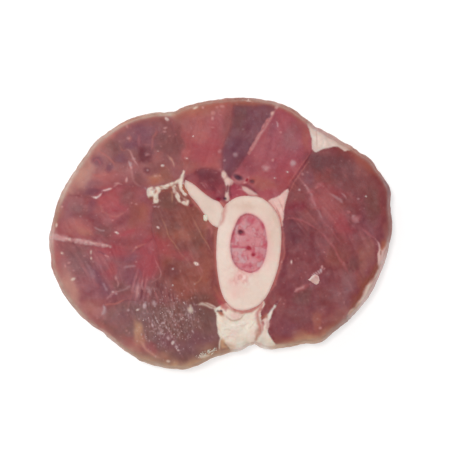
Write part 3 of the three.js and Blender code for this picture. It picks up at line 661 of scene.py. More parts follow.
LINES = (
    # Strands in the upper left muscle and along its lower seam
    ("blush", .60, .32, .06, (126, 149), (130, 151), (132, 155), (134, 160), (137, 165), (139, 168)),
    ("salmon", .35, .35, .02, (119, 144), (122, 150), (127, 150)),
    ("blush", .30, .45, .02, (129, 163), (132, 172), (134, 179), (137, 184), (143, 187)),
    ("frost", .60, .38, .05, (128.5, 160), (130, 165), (131.5, 168.5)),
    ("frost", .40, .40, .02, (143, 187), (148, 190), (152, 194)),
    ("salmon", .45, .40, .02, (155.5, 127), (156, 133), (152.7, 138), (151.8, 145.5), (151, 151)),
    ("salmon", .30, .30, .02, (143.5, 144.8), (151, 145)),
    ("peach", .75, .42, .06, (168, 155), (171, 159), (173, 163), (175, 168)),
    ("salmon", .35, .25, .02, (163, 165), (167, 168), (171, 172)),
    ("white", .70, .38, .12, (91, 196), (95, 197.5), (99, 196.5), (103, 193)),
    ("white", .80, .36, .10, (95, 197), (97, 199)),
    ("white", .70, .34, .10, (102, 191.5), (107, 190), (113, 187.5)),
    ("blush", .50, .35, .03, (113, 187), (118, 184), (123, 185)),
    ("rose", .70, .30, .02, (93, 164), (96, 160), (99, 162), (100, 166)),
    ("salmon", .55, .40, .02, (97, 150), (103, 154.5), (109, 158), (113.6, 163), (115.5, 168)),
    ("salmon", .45, .35, .00, (90, 172), (97, 176), (104, 175), (112, 174)),
    # The left muscle and the pink sheet under it
    ("red", .55, .60, .02, (137, 227), (131, 231), (120, 237)),
    ("salmon", .40, .40, .00, (101, 201), (101, 209), (108, 215), (118, 216), (127, 211)),
    ("frost", .45, .35, .02, (94, 226), (99, 229), (105, 231)),
    ("blush", .60, 1.10, .02, (49, 234), (56, 236), (64, 238), (72, 240)),
    ("blush", .55, .80, .02, (70, 240), (82, 241.5), (96, 243), (110, 246)),
    # The lower left muscle
    ("frost", .22, .80, .02, (84, 262), (90, 268), (93, 275), (96, 281)),
    ("plum", .75, .45, -.06, (90, 268), (97, 273), (101, 281), (104, 288), (109, 294)),
    ("frost", .40, .50, .02, (102, 282), (105, 288), (108, 291)),
    ("salmon", .65, .45, .03, (131, 253), (136, 248), (147, 243)),
    ("frost", .38, .40, .03, (124, 268), (128, 266.5), (133, 266), (137, 267.5)),
    ("mauve", .50, .40, .02, (137, 268), (141, 274), (142, 282)),
    ("blush", .55, .80, .03, (138, 282), (137, 290), (137, 299)),
    ("blush", .50, .40, .03, (143, 278), (142, 285), (144, 291)),
    ("frost", .45, .60, .02, (146, 286), (149, 291), (151, 297)),
    ("salmon", .75, .35, .04, (102, 305), (109, 304), (115, 303.5), (121, 301), (127, 299)),
    ("frost", .70, .62, .06, (103, 304), (104, 310), (102, 316)),
    ("blush", .45, .45, .05, (106, 300), (110, 296), (114, 293), (120, 291)),
    ("frost", .30, .50, .04, (117, 292), (122, 290.5), (127, 288), (131, 284)),
    ("plum", .70, .20, -.05, (96, 251), (102, 253), (108, 256)),
    ("blush", .75, .22, .03, (104, 254.5), (109, 257)),
    ("blush", .40, .25, .02, (154, 257), (157, 265), (160.5, 273), (160, 280)),
    ("blush", .22, .30, .02, (161, 276), (156, 280), (150, 284)),
    ("blush", .45, .35, .02, (116, 276), (118, 283), (117, 288)),
    ("peach", .65, .60, .02, (139, 340), (145, 348), (153, 355), (160, 359)),
    ("salmon", .30, .40, .02, (142, 335), (144, 342)),
    # The inner muscle
    ("tan", .55, .22, .03, (159, 213), (163, 221), (167, 230), (169, 237), (175, 245), (183, 253)),
    ("tan", .60, .22, .03, (191, 214), (195, 223), (199, 230), (203, 238), (209, 247), (214, 257)),
    ("tan", .15, .20, .02, (186, 243), (190, 250), (193, 258), (199, 262)),
    ("tan", .30, .20, .02, (175, 247), (184, 257), (190, 264), (193, 271)),
    ("tan", .40, .35, .02, (193, 285), (199, 281), (203, 275)),
    ("salmon", .55, .90, .00, (205, 222), (211, 230), (213, 240)),
    # The muscles at the top
    ("frost", .75, .26, .05, (276, 120.5), (278, 123.5), (277.5, 127.5)),
    ("blush", .50, .40, .02, (280, 105), (275, 111), (271, 118), (265, 127), (259, 137), (252, 149),
     (248, 156)),
    ("blush", .65, .14, .04, (202, 184), (204, 186), (206, 189)),
    ("blush", .60, .14, .04, (200, 182.5), (203.5, 183.5)),
    ("blush", .25, .14, .03, (205, 183), (208, 187)),
    ("blush", .45, .22, .05, (236, 190), (240, 189.5), (246, 190)),
    ("blush", .30, .20, .05, (241, 187), (246, 189), (251, 193)),
    ("wine", .95, .42, -.15, (228.3, 184.5), (227.6, 188), (226, 193)),
    ("wine", .60, .55, -.05, (223, 186), (224, 191), (223.5, 196)),
    ("wine", .80, .60, -.05, (231, 184), (230.5, 190), (231, 197)),
    ("wine", .65, .50, -.05, (241, 184), (247, 186.5), (254, 190), (259, 193.5)),
    # The right muscle
    ("frost", .45, .50, .02, (303, 184), (307, 189), (311, 195), (314, 203), (315, 209)),
    ("frost", .35, .40, .02, (315, 209), (320, 215), (322, 219)),
    ("frost", .45, .50, .02, (330, 194), (337, 198), (344, 204)),
    ("frost", .40, .30, .02, (340, 192), (344, 196), (347, 200)),
    ("blush", .45, .40, .02, (347, 211), (351, 211)),
    ("frost", .60, .80, .02, (353, 213), (356, 218), (359, 222)),
    ("rose", .60, .40, .03, (283, 221), (290, 218.5), (300, 220), (310, 224), (318, 230)),
    ("rose", .55, .45, .03, (316, 228), (326, 237), (333, 246), (341, 261), (350, 276)),
    ("rose", .45, .30, .02, (320, 218), (330, 228), (337, 238), (343, 246)),
    ("rose", .55, .50, .03, (362, 228), (368, 234), (375, 239)),
    ("rose", .60, .80, .02, (310, 284), (304, 286.5), (299, 289), (293.5, 291.5)),
    ("blush", .60, .45, .03, (305, 285.5), (299, 289), (293.5, 292)),
    ("mauve", .60, .80, .00, (309, 285), (314, 286)),
    ("frost", .70, .26, .06, (311.5, 274), (313.5, 277)),
    ("frost", .85, .26, .06, (313, 272.5), (315.5, 276)),
    ("frost", .85, .26, .06, (315, 271.5), (317.5, 275)),
    ("frost", .90, .30, .06, (317, 270), (319.5, 274)),
    ("frost", .95, .50, .05, (319.5, 268), (321, 273)),
    ("blush", .95, .40, .03, (321.5, 265), (322, 269)),
    ("blush", .60, .40, .02, (323, 269), (325, 268.5)),
    # A crack between the top right muscle and the right muscle: its dark wine line is painted shade in the
    # crack, and the salmon lines beside it are pale fascia
    ("wine", .50, .22, -.12, (313, 152), (308, 159), (303, 166.5), (296, 177), (289, 188)),
    ("salmon", .60, .16, .06, (311, 151), (305.5, 159.5), (300, 167), (293, 177.5), (286, 187)),
    ("salmon", .55, .18, .05, (311, 157), (304, 168), (298, 177), (292, 187), (288, 198)),
    # Red and pink along the bone
    ("salmon", .65, .50, .00, (282, 222), (283.5, 240), (282, 258), (278, 274), (272, 288), (264, 300)),
    ("wine", .50, .90, .00, (286, 222), (287, 240), (285, 260), (281, 277), (274, 292)),
    ("salmon", .55, .45, .00, (216, 231), (216, 250), (217, 270), (221, 288), (228, 302)),
    ("rust", .50, .80, .00, (214, 285), (219, 296), (226, 304)),
    # The strands and their knotted ends
    ("cream", .90, .75, .10, (183, 174), (180.5, 181), (181, 188), (185, 194.5)),
    ("cream", .75, .85, .10, (148.5, 190), (154, 190), (161, 190)),
    ("cream", .75, .85, .10, (152.5, 190), (154, 195), (155.5, 200)),
    ("white", .85, .32, .06, (184, 181), (183.6, 188), (188, 195)),
    ("clay", .80, .28, -.12, (177.5, 183), (177.5, 189), (181, 196), (187, 198.5)),
    ("clay", .60, .25, -.10, (170, 188), (175, 184), (179, 182)),
    ("ochre", .45, .30, .00, (171, 190), (172, 197), (171.5, 203)),
    ("salmon", .65, .40, .00, (190, 198), (197, 206), (203, 214)),
    ("crimson_dark", .50, .80, .00, (190, 203), (193, 206.5)),
    ("salmon", .90, 1.3, .00, (219, 203), (222.5, 203.5), (224.3, 207)),
    # The right rim's thin strands, and meat between them
    ("brown", 1.0, 1.0, -.05, (376.5, 259), (376.5, 267), (372.5, 275), (368, 282), (364, 288),
     (360, 294)),
    ("brown", .95, .90, -.04, (360, 294), (356, 300), (350, 307)),
    ("rust", .90, .90, -.05, (384.5, 240), (384, 245), (381.5, 250)),
    ("brown", .90, .40, -.04, (381.5, 250), (380.6, 256)),
    ("pale_pink", .85, .42, .06, (375, 239), (378.5, 244), (380, 251), (379, 257), (378.5, 264),
     (379, 270)),
    ("pale_pink", .85, .50, .06, (389, 243), (387, 248), (383.5, 253), (382, 259), (380.5, 265)),
    ("cream", .70, .40, .05, (379, 268), (377, 275), (373, 279)),
    ("cream", .70, .70, .05, (373, 281), (369.5, 288), (366, 295), (362, 301), (358, 305)),
    ("brown", .95, .75, -.04, (370, 279.5), (366.8, 284.5), (363.6, 290), (360.6, 295.5), (357, 300)),
    ("rust", .80, .40, -.02, (388.6, 246), (386.3, 253), (384.3, 260), (382.3, 266)),
    ("rust", .75, .32, -.02, (380.5, 269), (377.3, 276), (374, 283), (371, 289)),
    ("sand", .90, .50, .00, (374, 284), (371, 291), (367.5, 298)),
    ("ochre", .70, .60, .00, (361, 302), (355, 308), (348, 314)),
    # Round the fat under the bone
    ("red", .65, .60, -.04, (217, 300), (222, 304), (227, 308)),
    ("salmon", .85, 1.0, -.04, (219, 305), (225, 307), (230, 310)),
    ("sand", .80, .60, -.04, (229, 309.5), (237, 312), (246, 312), (255, 308.5), (262, 303)),
    ("salmon", .85, .62, -.03, (227, 307), (237, 311), (246, 311.4), (256, 307.5), (263, 301.5)),
    ("salmon", .75, .80, .00, (263.5, 302), (261.5, 307), (261, 313)),
    ("pink_bone", .50, 1.0, .00, (229, 313), (236, 316), (243, 315)),
    ("sand", .75, .28, -.05, (223, 312), (227, 317.5), (233, 320), (240, 319), (244, 315), (248, 312)),
    ("salmon", .85, .75, -.06, (260.5, 306), (259, 314), (259.5, 322), (260, 330), (259.5, 338)),
    ("blush", .50, .90, .00, (256, 311), (257, 318), (258, 326)),
    ("rust", .85, .55, -.06, (261, 318.5), (265, 317.5), (269, 315)),
    ("blush", .65, .70, .00, (267.5, 318), (267.5, 325), (266.5, 331)),
    ("salmon", .60, .40, .00, (263, 319), (262.6, 325), (262.6, 332)),
    ("wine", .75, .50, .00, (277, 302), (275.5, 306)),
    ("rust", .70, .40, -.04, (264, 316), (268, 313.5)),
    ("frost", .50, .50, .05, (269, 314), (272, 310), (276, 306)),
    ("wine", .90, .45, .00, (275.5, 305), (278, 301.5)),
    ("blush", .30, .16, .03, (277, 304), (280, 300), (281.5, 297)),
    ("cream", .65, .50, .06, (197, 304), (203, 304.5), (209, 306.5), (216, 309.5)),
    ("cream", .70, .25, .06, (205, 303), (210, 304.5), (217, 308)),
    ("cream", .75, .25, .08, (214, 309), (215.5, 313)),
    ("cream", .75, .28, .08, (221.5, 308), (223.5, 312), (226, 317)),
    ("clay", .80, .90, -.04, (259.5, 328), (257.5, 335), (254.5, 344)),
    ("sand", .70, .60, -.04, (258.5, 316), (259, 325)),
    ("ochre", .90, 1.1, -.04, (220.5, 337.5), (223.5, 344), (228, 350)),
    ("cream", .80, .28, .05, (220.6, 336), (219.6, 343), (220, 351)),
)

# Small marks with an edge: tone, strength, height, pixel, radii and turn
FLECKS = (
    ("frost", .40, .08, (134, 159), .70, .50, 0), ("blush", .50, .08, (128, 138.5), .90, .70, 0),
    ("blush", .40, .08, (147.5, 154), 1.0, .80, 0), ("white", .80, .12, (163, 166), .55, .50, 0),
    ("white", .75, .14, (166.5, 119.5), .80, .50, -50), ("blush", .70, .10, (165.5, 128), .75, .40, 10),
    ("blush", .55, .08, (164.5, 131.5), .70, .35, 0), ("blush", .95, .10, (126.3, 180), .50, 1.1, -10),
    ("frost", .50, .08, (148, 170), .50, .45, 0), ("frost", .40, .08, (158, 151.3), .50, .40, 0),
    ("blush", .65, .08, (117, 183.3), .95, .38, 0), ("blush", .55, .08, (127.5, 126.5), .45, .80, 20),
    ("frost", .60, .08, (131, 164.5), .55, .85, 0), ("blush", .85, .08, (131.5, 168), .50, .60, 0),
    ("blush", .55, .08, (155.5, 176), .70, .50, 0), ("blush", .45, .08, (160, 176), .60, .40, 0),
    ("blush", .40, .06, (132, 203.5), .42, .40, 0), ("blush", .50, .06, (136, 204.8), .55, .34, -20),
    ("cream", .80, .10, (56.5, 225), .50, .85, 0), ("blush", .80, .08, (62, 207), .50, .45, 0),
    ("frost", .40, .08, (80.5, 216.5), .45, .35, 0), ("frost", .45, .08, (104, 230.5), .45, .40, 0),
    ("blush", .45, .08, (112.5, 220), .42, .38, 0), ("white", .85, .12, (117, 233), .85, .34, -18),
    ("cream", .70, .12, (61.7, 253.5), .65, .42, -35), ("cream", .65, .10, (91, 252.3), .38, .80, 0),
    ("cream", .65, .10, (91.3, 258.2), .42, .55, 0), ("cream", .80, .14, (73.3, 279.6), 1.0, .55, 25),
    ("blush", .60, .10, (69, 263), .70, .38, 20), ("blush", .55, .10, (65.2, 266), .42, .60, 20),
    ("blush", .45, .08, (84.5, 256), .50, .34, 0), ("blush", .50, .08, (73.5, 270.5), .45, .38, 0),
    ("blush", .55, .08, (136.3, 247.5), .50, .38, 0), ("blush", .50, .08, (136.5, 262), .48, .32, 0),
    ("white", .75, .12, (138, 309.8), .60, .38, 30), ("frost", .90, .10, (145.5, 306), .80, 1.2, -15),
    ("white", .45, .08, (112.5, 292), .50, .40, 0), ("frost", .45, .08, (116, 294), .50, .34, 0),
    ("blush", .40, .08, (126.5, 331), .42, .38, 0), ("cream", .90, .12, (113.3, 339), .95, .50, -12),
    ("blush", .45, .08, (116, 278), .50, .85, 0), ("frost", .70, .08, (128.5, 310), .60, .55, 0),
    ("blush", .40, .08, (145, 336), .42, 1.0, 0), ("frost", .40, .08, (144, 313.5), .60, .40, 0),
    ("white", .80, .12, (158.5, 227.8), .70, .42, -30),
    ("white", .95, .12, (196.3, 263.7), 1.0, .55, -38), ("cream", .60, .06, (194.5, 262.5), .50, .50, 0),
    ("frost", .70, .10, (173, 269), .60, .42, 20), ("frost", .60, .08, (172.8, 285), .42, .50, 0),
    ("frost", .50, .08, (195, 284), .42, .38, 0), ("frost", .55, .08, (184, 302.5), .42, .38, 0),
    ("frost", .50, .08, (177, 299), .38, .38, 0), ("cream_dull", .95, .10, (190.5, 310), 1.05, 1.15, 0),
    ("cream_dull", .75, .08, (190.8, 306.3), .34, .85, 0), ("grey", .55, .05, (190, 315.3), .26, .90, 0),
    # Next, a hole in the fat by the bone, painted dark as shade
    ("hole_shade", .95, -.35, (220.5, 311.5), .65, .60, 0), ("rust", .95, -.20, (220, 314), 1.3, .90, -45),
    ("umber", .75, -.15, (217.5, 311.5), .60, .50, 0), ("cream", .80, .10, (215.5, 309), .70, .50, -30),
    ("frost", .70, .06, (154, 303), .80, 1.0, 0), ("white", .50, .10, (181.5, 318.7), .55, .40, 0),
    ("white", .85, .10, (172.8, 342.6), .50, .75, -20), ("frost", .75, .10, (175.5, 347), .60, .60, 0),
    ("white", .65, .10, (177.8, 350), .60, .30, -20), ("cream", .75, .14, (168, 361), .85, .55, 0),
    ("cream", .75, .14, (205, 357), 2.2, .70, 5), ("blush", .45, .08, (213.5, 113), 1.0, .90, 0),
    ("blush", .75, .08, (212.7, 118.7), .60, .75, 0), ("blush", .60, .10, (222, 106.5), 1.0, .55, -20),
    ("blush", .45, .08, (217.5, 107), .55, .50, 0), ("blush", .60, .08, (193.2, 136.3), .50, .45, 0),
    ("blush", .60, .10, (187, 158.4), .80, .50, -25), ("blush", .45, .08, (220, 151.5), .90, .70, 0),
    ("blush", .40, .08, (212.6, 127.4), .95, .34, 0), ("cream", .95, .14, (195.5, 107), 1.0, .60, 15),
    ("blush", .80, .08, (203, 107.5), .55, .45, 0), ("salmon", .50, .06, (200, 133.7), .85, .38, 0),
    ("rose", .50, .06, (175.7, 134.6), .60, .42, 0), ("white", .95, .14, (248.5, 99.7), 1.3, .45, 0),
    ("frost", .50, .08, (235.5, 155), 1.05, 1.0, 0), ("grey", .60, .06, (243, 129.7), .55, .36, 0),
    ("frost", .50, .06, (225, 160), .55, .45, 0), ("blush", .50, .06, (280.5, 132), .60, .50, 0),
    ("frost", .70, .08, (292.2, 164), 1.2, 1.5, 10), ("frost", .40, .04, (266, 168), 1.6, 1.2, -20),
    ("blush", .60, .08, (287.5, 172), .70, .42, -20), ("blush", .60, .08, (274.5, 178), .70, .42, 0),
    ("blush", .40, .06, (267.5, 169), 1.15, 1.2, 0), ("blush", .30, .06, (262.5, 167), .80, .70, 0),
    ("blush", .65, .06, (272.5, 160), .55, .65, 0), ("brown", .95, -.25, (151.2, 197.5), .90, .85, 0),
    ("rust", .60, -.15, (155.8, 191.3), .45, .60, 0), ("rust", .70, -.10, (160.5, 187.6), 1.0, .34, -10),
    ("rust", .60, -.10, (170, 187.3), .80, .36, 20), ("rust", .55, -.10, (163, 191.7), .80, .36, 10),
    ("brown", .60, -.15, (175.5, 188.5), .34, .80, 20), ("rust", .55, -.10, (185.5, 199.3), .80, .34, 0),
    ("cream", .40, .08, (153.5, 203), .55, .40, 20), ("cream", .30, .06, (157, 203), .60, .35, -20),
    ("frost", .60, .06, (155, 206.5), .60, .35, 0), ("frost", .55, .06, (158.5, 207), .45, .30, 20),
    ("cream", .25, .06, (160, 201), .35, .45, 0), ("white", .30, .08, (167, 186), .80, .60, 20),
    # Cut vessels: their dark holes are painted shade, and the pale marks round their rims are partly the
    # vessel wall's own tone and partly painted highlights
    ("blush", .45, .05, (239, 178), 2.6, 1.5, -20), ("hole_shade", .85, -.45, (238.5, 177), 1.7, .85, -20),
    ("hole_shade", .55, -.30, (251.5, 182), 1.1, .75, 0), ("blood", .85, -.25, (246.3, 180.3), .36, .72, -20),
    ("blush", .75, .12, (244.6, 182.6), .62, .46, 0), ("blush", .50, .10, (248, 177.5), .42, .46, 0),
    ("blush", .45, .10, (234, 181.5), .90, .40, -20), ("blood", .45, -.25, (218.5, 199.7), .95, .60, 0),
    ("hole_shade", .95, -.30, (224.6, 198.6), .60, .50, 0), ("rose", .60, .06, (319, 184.5), 1.7, 1.1, 20),
    ("rose", .65, .06, (310, 191.5), 1.6, 1.1, 20), ("rose", .55, .06, (313, 200.5), 1.5, 1.5, 0),
    ("rose", .45, .06, (316, 208), 1.3, 1.1, 0), ("rose", .50, .06, (357, 218), 1.7, 1.3, 0),
    ("rose", .45, .06, (349, 212), .80, .60, 0), ("frost", .80, .08, (299.3, 189.8), .50, .40, 0),
    ("blush", .50, .08, (305, 185.5), .40, .36, 0), ("blush", .50, .08, (302.5, 174.5), .40, .60, 0),
    ("frost", .60, .08, (366, 196.5), .44, .38, 0), ("frost", .55, .08, (358.5, 199), .52, .38, 0),
    ("pale_pink", .85, .08, (291.5, 262), .50, .85, 0), ("blush", .50, .08, (281.5, 262), .40, .50, 0),
    ("blush", .50, .08, (324, 252), .42, .38, 0), ("blush", .50, .08, (283.5, 304), .42, .38, 0),
    ("blush", .15, .04, (285, 300), .42, .38, 0), ("blush", .75, .08, (320, 328), .60, .45, 0),
    ("wine", .70, -.08, (347, 263), .45, .42, 0), ("wine", .65, -.08, (350.5, 268), .42, .38, 0),
    ("wine", .60, -.08, (353, 271), .42, .38, 0),
)

# The rim: pixel, tone of the band on the face, its cover and width, tone of the edge, its cover
BAND_TONE, BAND_COVER, BAND_WIDTH, EDGE_TONE, EDGE_COVER = range(1, 6)
RIM_STRETCHES = (
    ((168, 112), "membrane", .60, 1.0, "putty", .60), ((150, 112), "tan", .50, 1.2, "putty", .60),
    ((128, 121), "tan", .55, 1.6, "putty", .60), ((108, 132), "peach", .65, 2.4, "putty", .60),
    ((92, 150), "peach", .70, 3.2, "putty", .60), ((76, 170), "peach", .80, 4.0, "putty", .60),
    ((64, 195), "peach", .80, 3.0, "putty", .60), ((54, 218), "tan", .55, 1.4, "sand", .50),
    ((50, 236), "blush", .60, 1.8, "putty", .60), ((50, 256), "salmon", .70, 3.2, "sand", .50),
    ((58, 285), "peach", .80, 3.4, "putty", .50), ((75, 306), "peach", .75, 2.8, "sand", .60),
    ((98, 328), "salmon", .65, 2.2, "putty", .50), ((125, 347), "peach", .70, 2.6, "sand", .40),
    ((150, 361), "ochre", .75, 2.6, "sand", .50), ((180, 369), "ochre", .85, 2.6, "sand", .60),
    ((205, 364), "ochre", .85, 2.2, "sand", .60), ((218, 357), "ochre", .65, 1.5, "sand", .60),
    # Along the lower edge of the fat pad, at (238, 351) and (266, 348), the cream band and white edge are
    # the fat's own pale tone made lighter: painted light on an edge that faces away from the lamps
    ((228, 353), "ochre", .60, 1.2, "tan", .50), ((238, 351), "cream", .60, 1.0, "white", .60),
    ((252, 346), "tan", .45, 1.0, "cream", .50), ((266, 348), "cream", .60, 1.4, "white", .60),
    ((275, 348), "ochre", .40, 1.2, "membrane", .50), ((290, 346), "ochre", .70, 2.0, "sand", .50),
    ((315, 343), "ochre", .75, 2.8, "sand", .50), ((340, 326), "tan", .60, 1.8, "ash", .60),
    ((362, 300), "pale_pink", .65, 1.2, "putty", .70), ((384, 260), "blush", .45, 0.8, "putty", .60),
    ((391, 225), "rust", .35, 1.0, "grey", .30), ((390, 190), "rust", .40, 1.2, "grey", .40),
    ((378, 168), "rust", .55, 1.6, "grey", .30), ((352, 148), "rust", .65, 1.6, "clay", .50),
    ((320, 124), "blush", .35, 0.9, "putty", .50), ((303, 112), "rust", .65, 1.6, "clay", .50),
    ((285, 104), "rust", .65, 1.6, "putty", .60), ((262, 98), "rust", .65, 1.4, "clay", .50),
    ((240, 97), "rust", .60, 1.4, "clay", .50), ((215, 100), "rust", .75, 2.6, "clay", .50),
    ((190, 106), "tan", .65, 2.0, "clay", .60), ((176, 113), "tan", .60, 1.8, "clay", .50),
)


# Painting the cut faces

# The broad patches are drawn a little larger than their radii, with a firm edge
BLOOM_SPREAD = 1.12
BLOOM_FIRMNESS = 1.7
BLOOM_BEND = 0.16

meat = base_canvas(meat_share)
mottle = 2.0 * face.grain(21, 2.4) + 1.8 * face.grain(22, 0.8) + 1.6 * face.grain(23, 0.35)
meat += mottle[..., None] * (1.0, 0.85, 0.8)
meat += (1.6 * face.grain(24, 3.0) + 1.0 * face.grain(25, 0.9))[..., None] * (0.9, 0.1, -0.7)
for tone, strength, pixel, long, wide, turn in BLOOMS:
    mark = spot(pixel, BLOOM_SPREAD * long, BLOOM_SPREAD * wide, turn, BLOOM_FIRMNESS, BLOOM_BEND)
    tint(meat, mark, tone, strength)

# Fibres: the middle and radius of a zone, their direction, the length and width of a streak, strength
FIBRES = (
    ((325, 212), 15, -50, 5.0, 0.30, 0.17), ((325, 212), 15, -54, 7.0, 0.80, 0.14),
    ((352, 262), 15, -66, 4.0, 0.35, 0.12), ((352, 262), 15, -62, 7.0, 0.90, 0.12),
    ((305, 305), 14, -76, 4.0, 0.30, 0.11), ((300, 250), 11, -70, 5.0, 0.45, 0.08),
    ((190, 235), 15, -63, 3.5, 0.22, 0.12), ((185, 285), 10, -66, 2.4, 0.25, 0.12),
    ((166, 292), 7, -74, 2.0, 0.16, 0.22), ((170, 325), 13, -64, 1.2, 0.20, 0.16),
    ((84, 262), 11, -58, 2.6, 0.28, 0.16), ((108, 275), 9, -72, 2.0, 0.26, 0.14),
    ((138, 285), 9, 78, 2.4, 0.28, 0.20), ((120, 325), 12, -50, 2.0, 0.40, 0.08),
    ((85, 215), 12, -42, 2.4, 0.35, 0.08), ((115, 215), 9, 35, 2.0, 0.40, 0.07),
    ((270, 150), 15, 62, 3.0, 0.35, 0.05), ((205, 140), 14, 72, 2.6, 0.35, 0.05),
    ((205, 180), 6, -50, 1.5, 0.18, 0.12), ((130, 150), 14, -55, 1.2, 0.40, 0.04),
)
fibre_height = np.zeros_like(face.X)
for seed, (pixel, radius, direction, length, width, strength) in enumerate(FIBRES, 40):
    part, zone = spot(pixel, radius, radius, firmness=1.5)
    streaks = face.grain(seed, length, width, direction) * (0.65 + 0.35 * face.grain(seed + 30, 3.0))
    streaks = streaks[part] * zone
    tint(meat, (part, np.maximum(streaks, 0)), "rose_light", strength)
    tint(meat, (part, np.maximum(-streaks, 0)), "dark_wine", strength)
    lift(fibre_height, (part, streaks), 0.08 * strength)

tint_all(meat, seam * (0.5 + 0.25 * face.grain(26, 1.2)), "wine", 0.30)

# Fat and sinew: the sinew is thin, patchy and ragged, so meat shows through it
pale = base_canvas(pale_share)
pale += (3.0 * face.grain(31, 1.4) + 2.5 * face.grain(32, 0.5))[..., None] * (1.0, 0.95, 0.9)
tint_all(pale, np.maximum(face.grain(33, 1.1), 0) * 0.5, "blush", 0.20)
fat_share = smoothstep(fat_solid + 0.10 * face.grain(36, 0.6) * (fat_solid < 0.9), 0.36, 0.66)
fat_share += 0.95 * smoothstep(thin_solid * (1 + 0.10 * face.grain(36, 0.6)), 0.34, 0.84)
sinew_share = 0.94 * smoothstep(strand_solid * (1 + 0.30 * face.grain(37, 0.45)), 0.38, 0.88)
pale_amount = np.clip(fat_share + sinew_share, 0, 1)
pale_edge = np.clip(4 * pale_amount * (1 - pale_amount), 0, 1)

# The rim: a warm band on the face, and a paler line of silverskin at the very edge, made lighter below the
# fat pad as painted light
EDGE_WIDTH = 0.55
stretch_place = np.array([float(at_rim(*map(np.array, place(s[0])))[2]) for s in RIM_STRETCHES])
order = np.argsort(stretch_place)
rim_marks = stretch_place[order]
rim_marks = np.concatenate([[rim_marks[-1] - RIM_LENGTH], rim_marks, [rim_marks[0] + RIM_LENGTH]])


def along_rim(where, column):
    """A column of the table of stretches, followed smoothly along the rim."""
    values = [TONES[s[column]] if isinstance(s[column], str) else (s[column],) for s in RIM_STRETCHES]
    values = np.array(values, float)[order]
    values = np.concatenate([values[-1:], values, values[:1]])
    columns = [np.interp(where, rim_marks, values[:, k]) for k in range(values.shape[1])]
    return np.stack(columns, -1) if len(columns) > 1 else columns[0]


def add_rim(canvas, weight):
    """Colours a canvas near the rim."""
    depth = np.maximum(rim_depth, 0)
    width = along_rim(rim_place, BAND_WIDTH) * (1 + 0.25 * face.grain(28, 1.5))
    band = along_rim(rim_place, BAND_COVER) * np.exp(-(depth / np.maximum(width, 0.4)) ** 1.5)
    band *= 1 + 0.12 * face.grain(29, 0.8)
    line = along_rim(rim_place, EDGE_COVER) * np.exp(-(depth / EDGE_WIDTH) ** 2)
    line *= 1 + 0.35 * face.grain(30, 0.6)
    for cover, column in ((band, BAND_TONE), (line, EDGE_TONE)):
        share = np.clip(cover * weight, 0, 0.95)[..., None]
        canvas += (along_rim(rim_place, column) - canvas) * share


add_rim(meat, 1.0)
add_rim(pale, 0.55)


def joined(meat, pale):
    """Meat, fat and sinew on one canvas, with a warm thin line where fat or bone meets the meat; by the
    bone, partly painted light.
    """
    canvas = meat + (pale - meat) * pale_amount[..., None]
    tint_all(canvas, pale_edge * (0.7 + 0.3 * face.grain(27, 0.8)), "salmon", 0.30)
    # Salmon by the bone: partly the meat's own tone, partly painted light
    tint_all(canvas, salmon_and_light_by_bone, "salmon", 0.55)
    return canvas


flesh_under = joined(meat, pale)

# Lines in the fat: tone, strength, width, height, and the pixels that they run through
FAT_LINES = (
    ("salmon", .55, .40, -.03, (240, 185), (248, 187.5), (257, 192.5)),
    ("blush", .60, .40, -.03, (230, 176), (233, 180), (231, 185)),
    ("brown", .35, .16, -.06, (316, 127), (316.5, 137), (317, 148)),
    ("tan", .45, .50, -.05, (338, 141), (345, 144), (352, 150)),
    ("putty", .45, .20, -.06, (223, 330), (228, 329), (232, 331)),
    ("putty", .40, .20, -.06, (224, 338), (230, 336), (237, 338)),
    ("putty", .40, .18, -.05, (236, 325), (243, 326), (250, 322)),
    ("white", .45, .40, .08, (228, 323), (238, 325), (247, 320)),
    ("white", .40, .40, .08, (228, 342), (237, 344), (246, 340)),
    ("putty", .35, .20, -.05, (248, 330), (252, 326), (256, 320)),
    ("white", .55, .40, .10, (268, 304), (272, 310), (270, 318)),
    ("blush", .60, .25, -.08, (266, 312), (264, 322), (262, 332)),
    ("salmon", .65, .22, -.08, (272, 201), (278, 211), (281, 224), (281, 244)),
    ("salmon", .45, .20, -.06, (278, 198), (283, 210), (285, 224)),
    ("blush", .50, .20, .05, (284, 196), (285, 208), (284, 222)),
    ("salmon", .55, .25, -.06, (184, 181), (183, 187), (186, 193)),
    ("tan", .60, .22, -.15, (180, 183), (179, 190), (183, 197)),
    ("rust", .60, .25, -.20, (153, 193), (154, 198), (158, 199)),
    ("tan", .50, .20, -.12, (164, 187), (170, 188), (176, 184)),
    ("white", .60, .30, .12, (176, 190), (179, 197), (183, 202)),
    ("white", .55, .30, .12, (149, 190), (151, 196), (155, 201)),
)
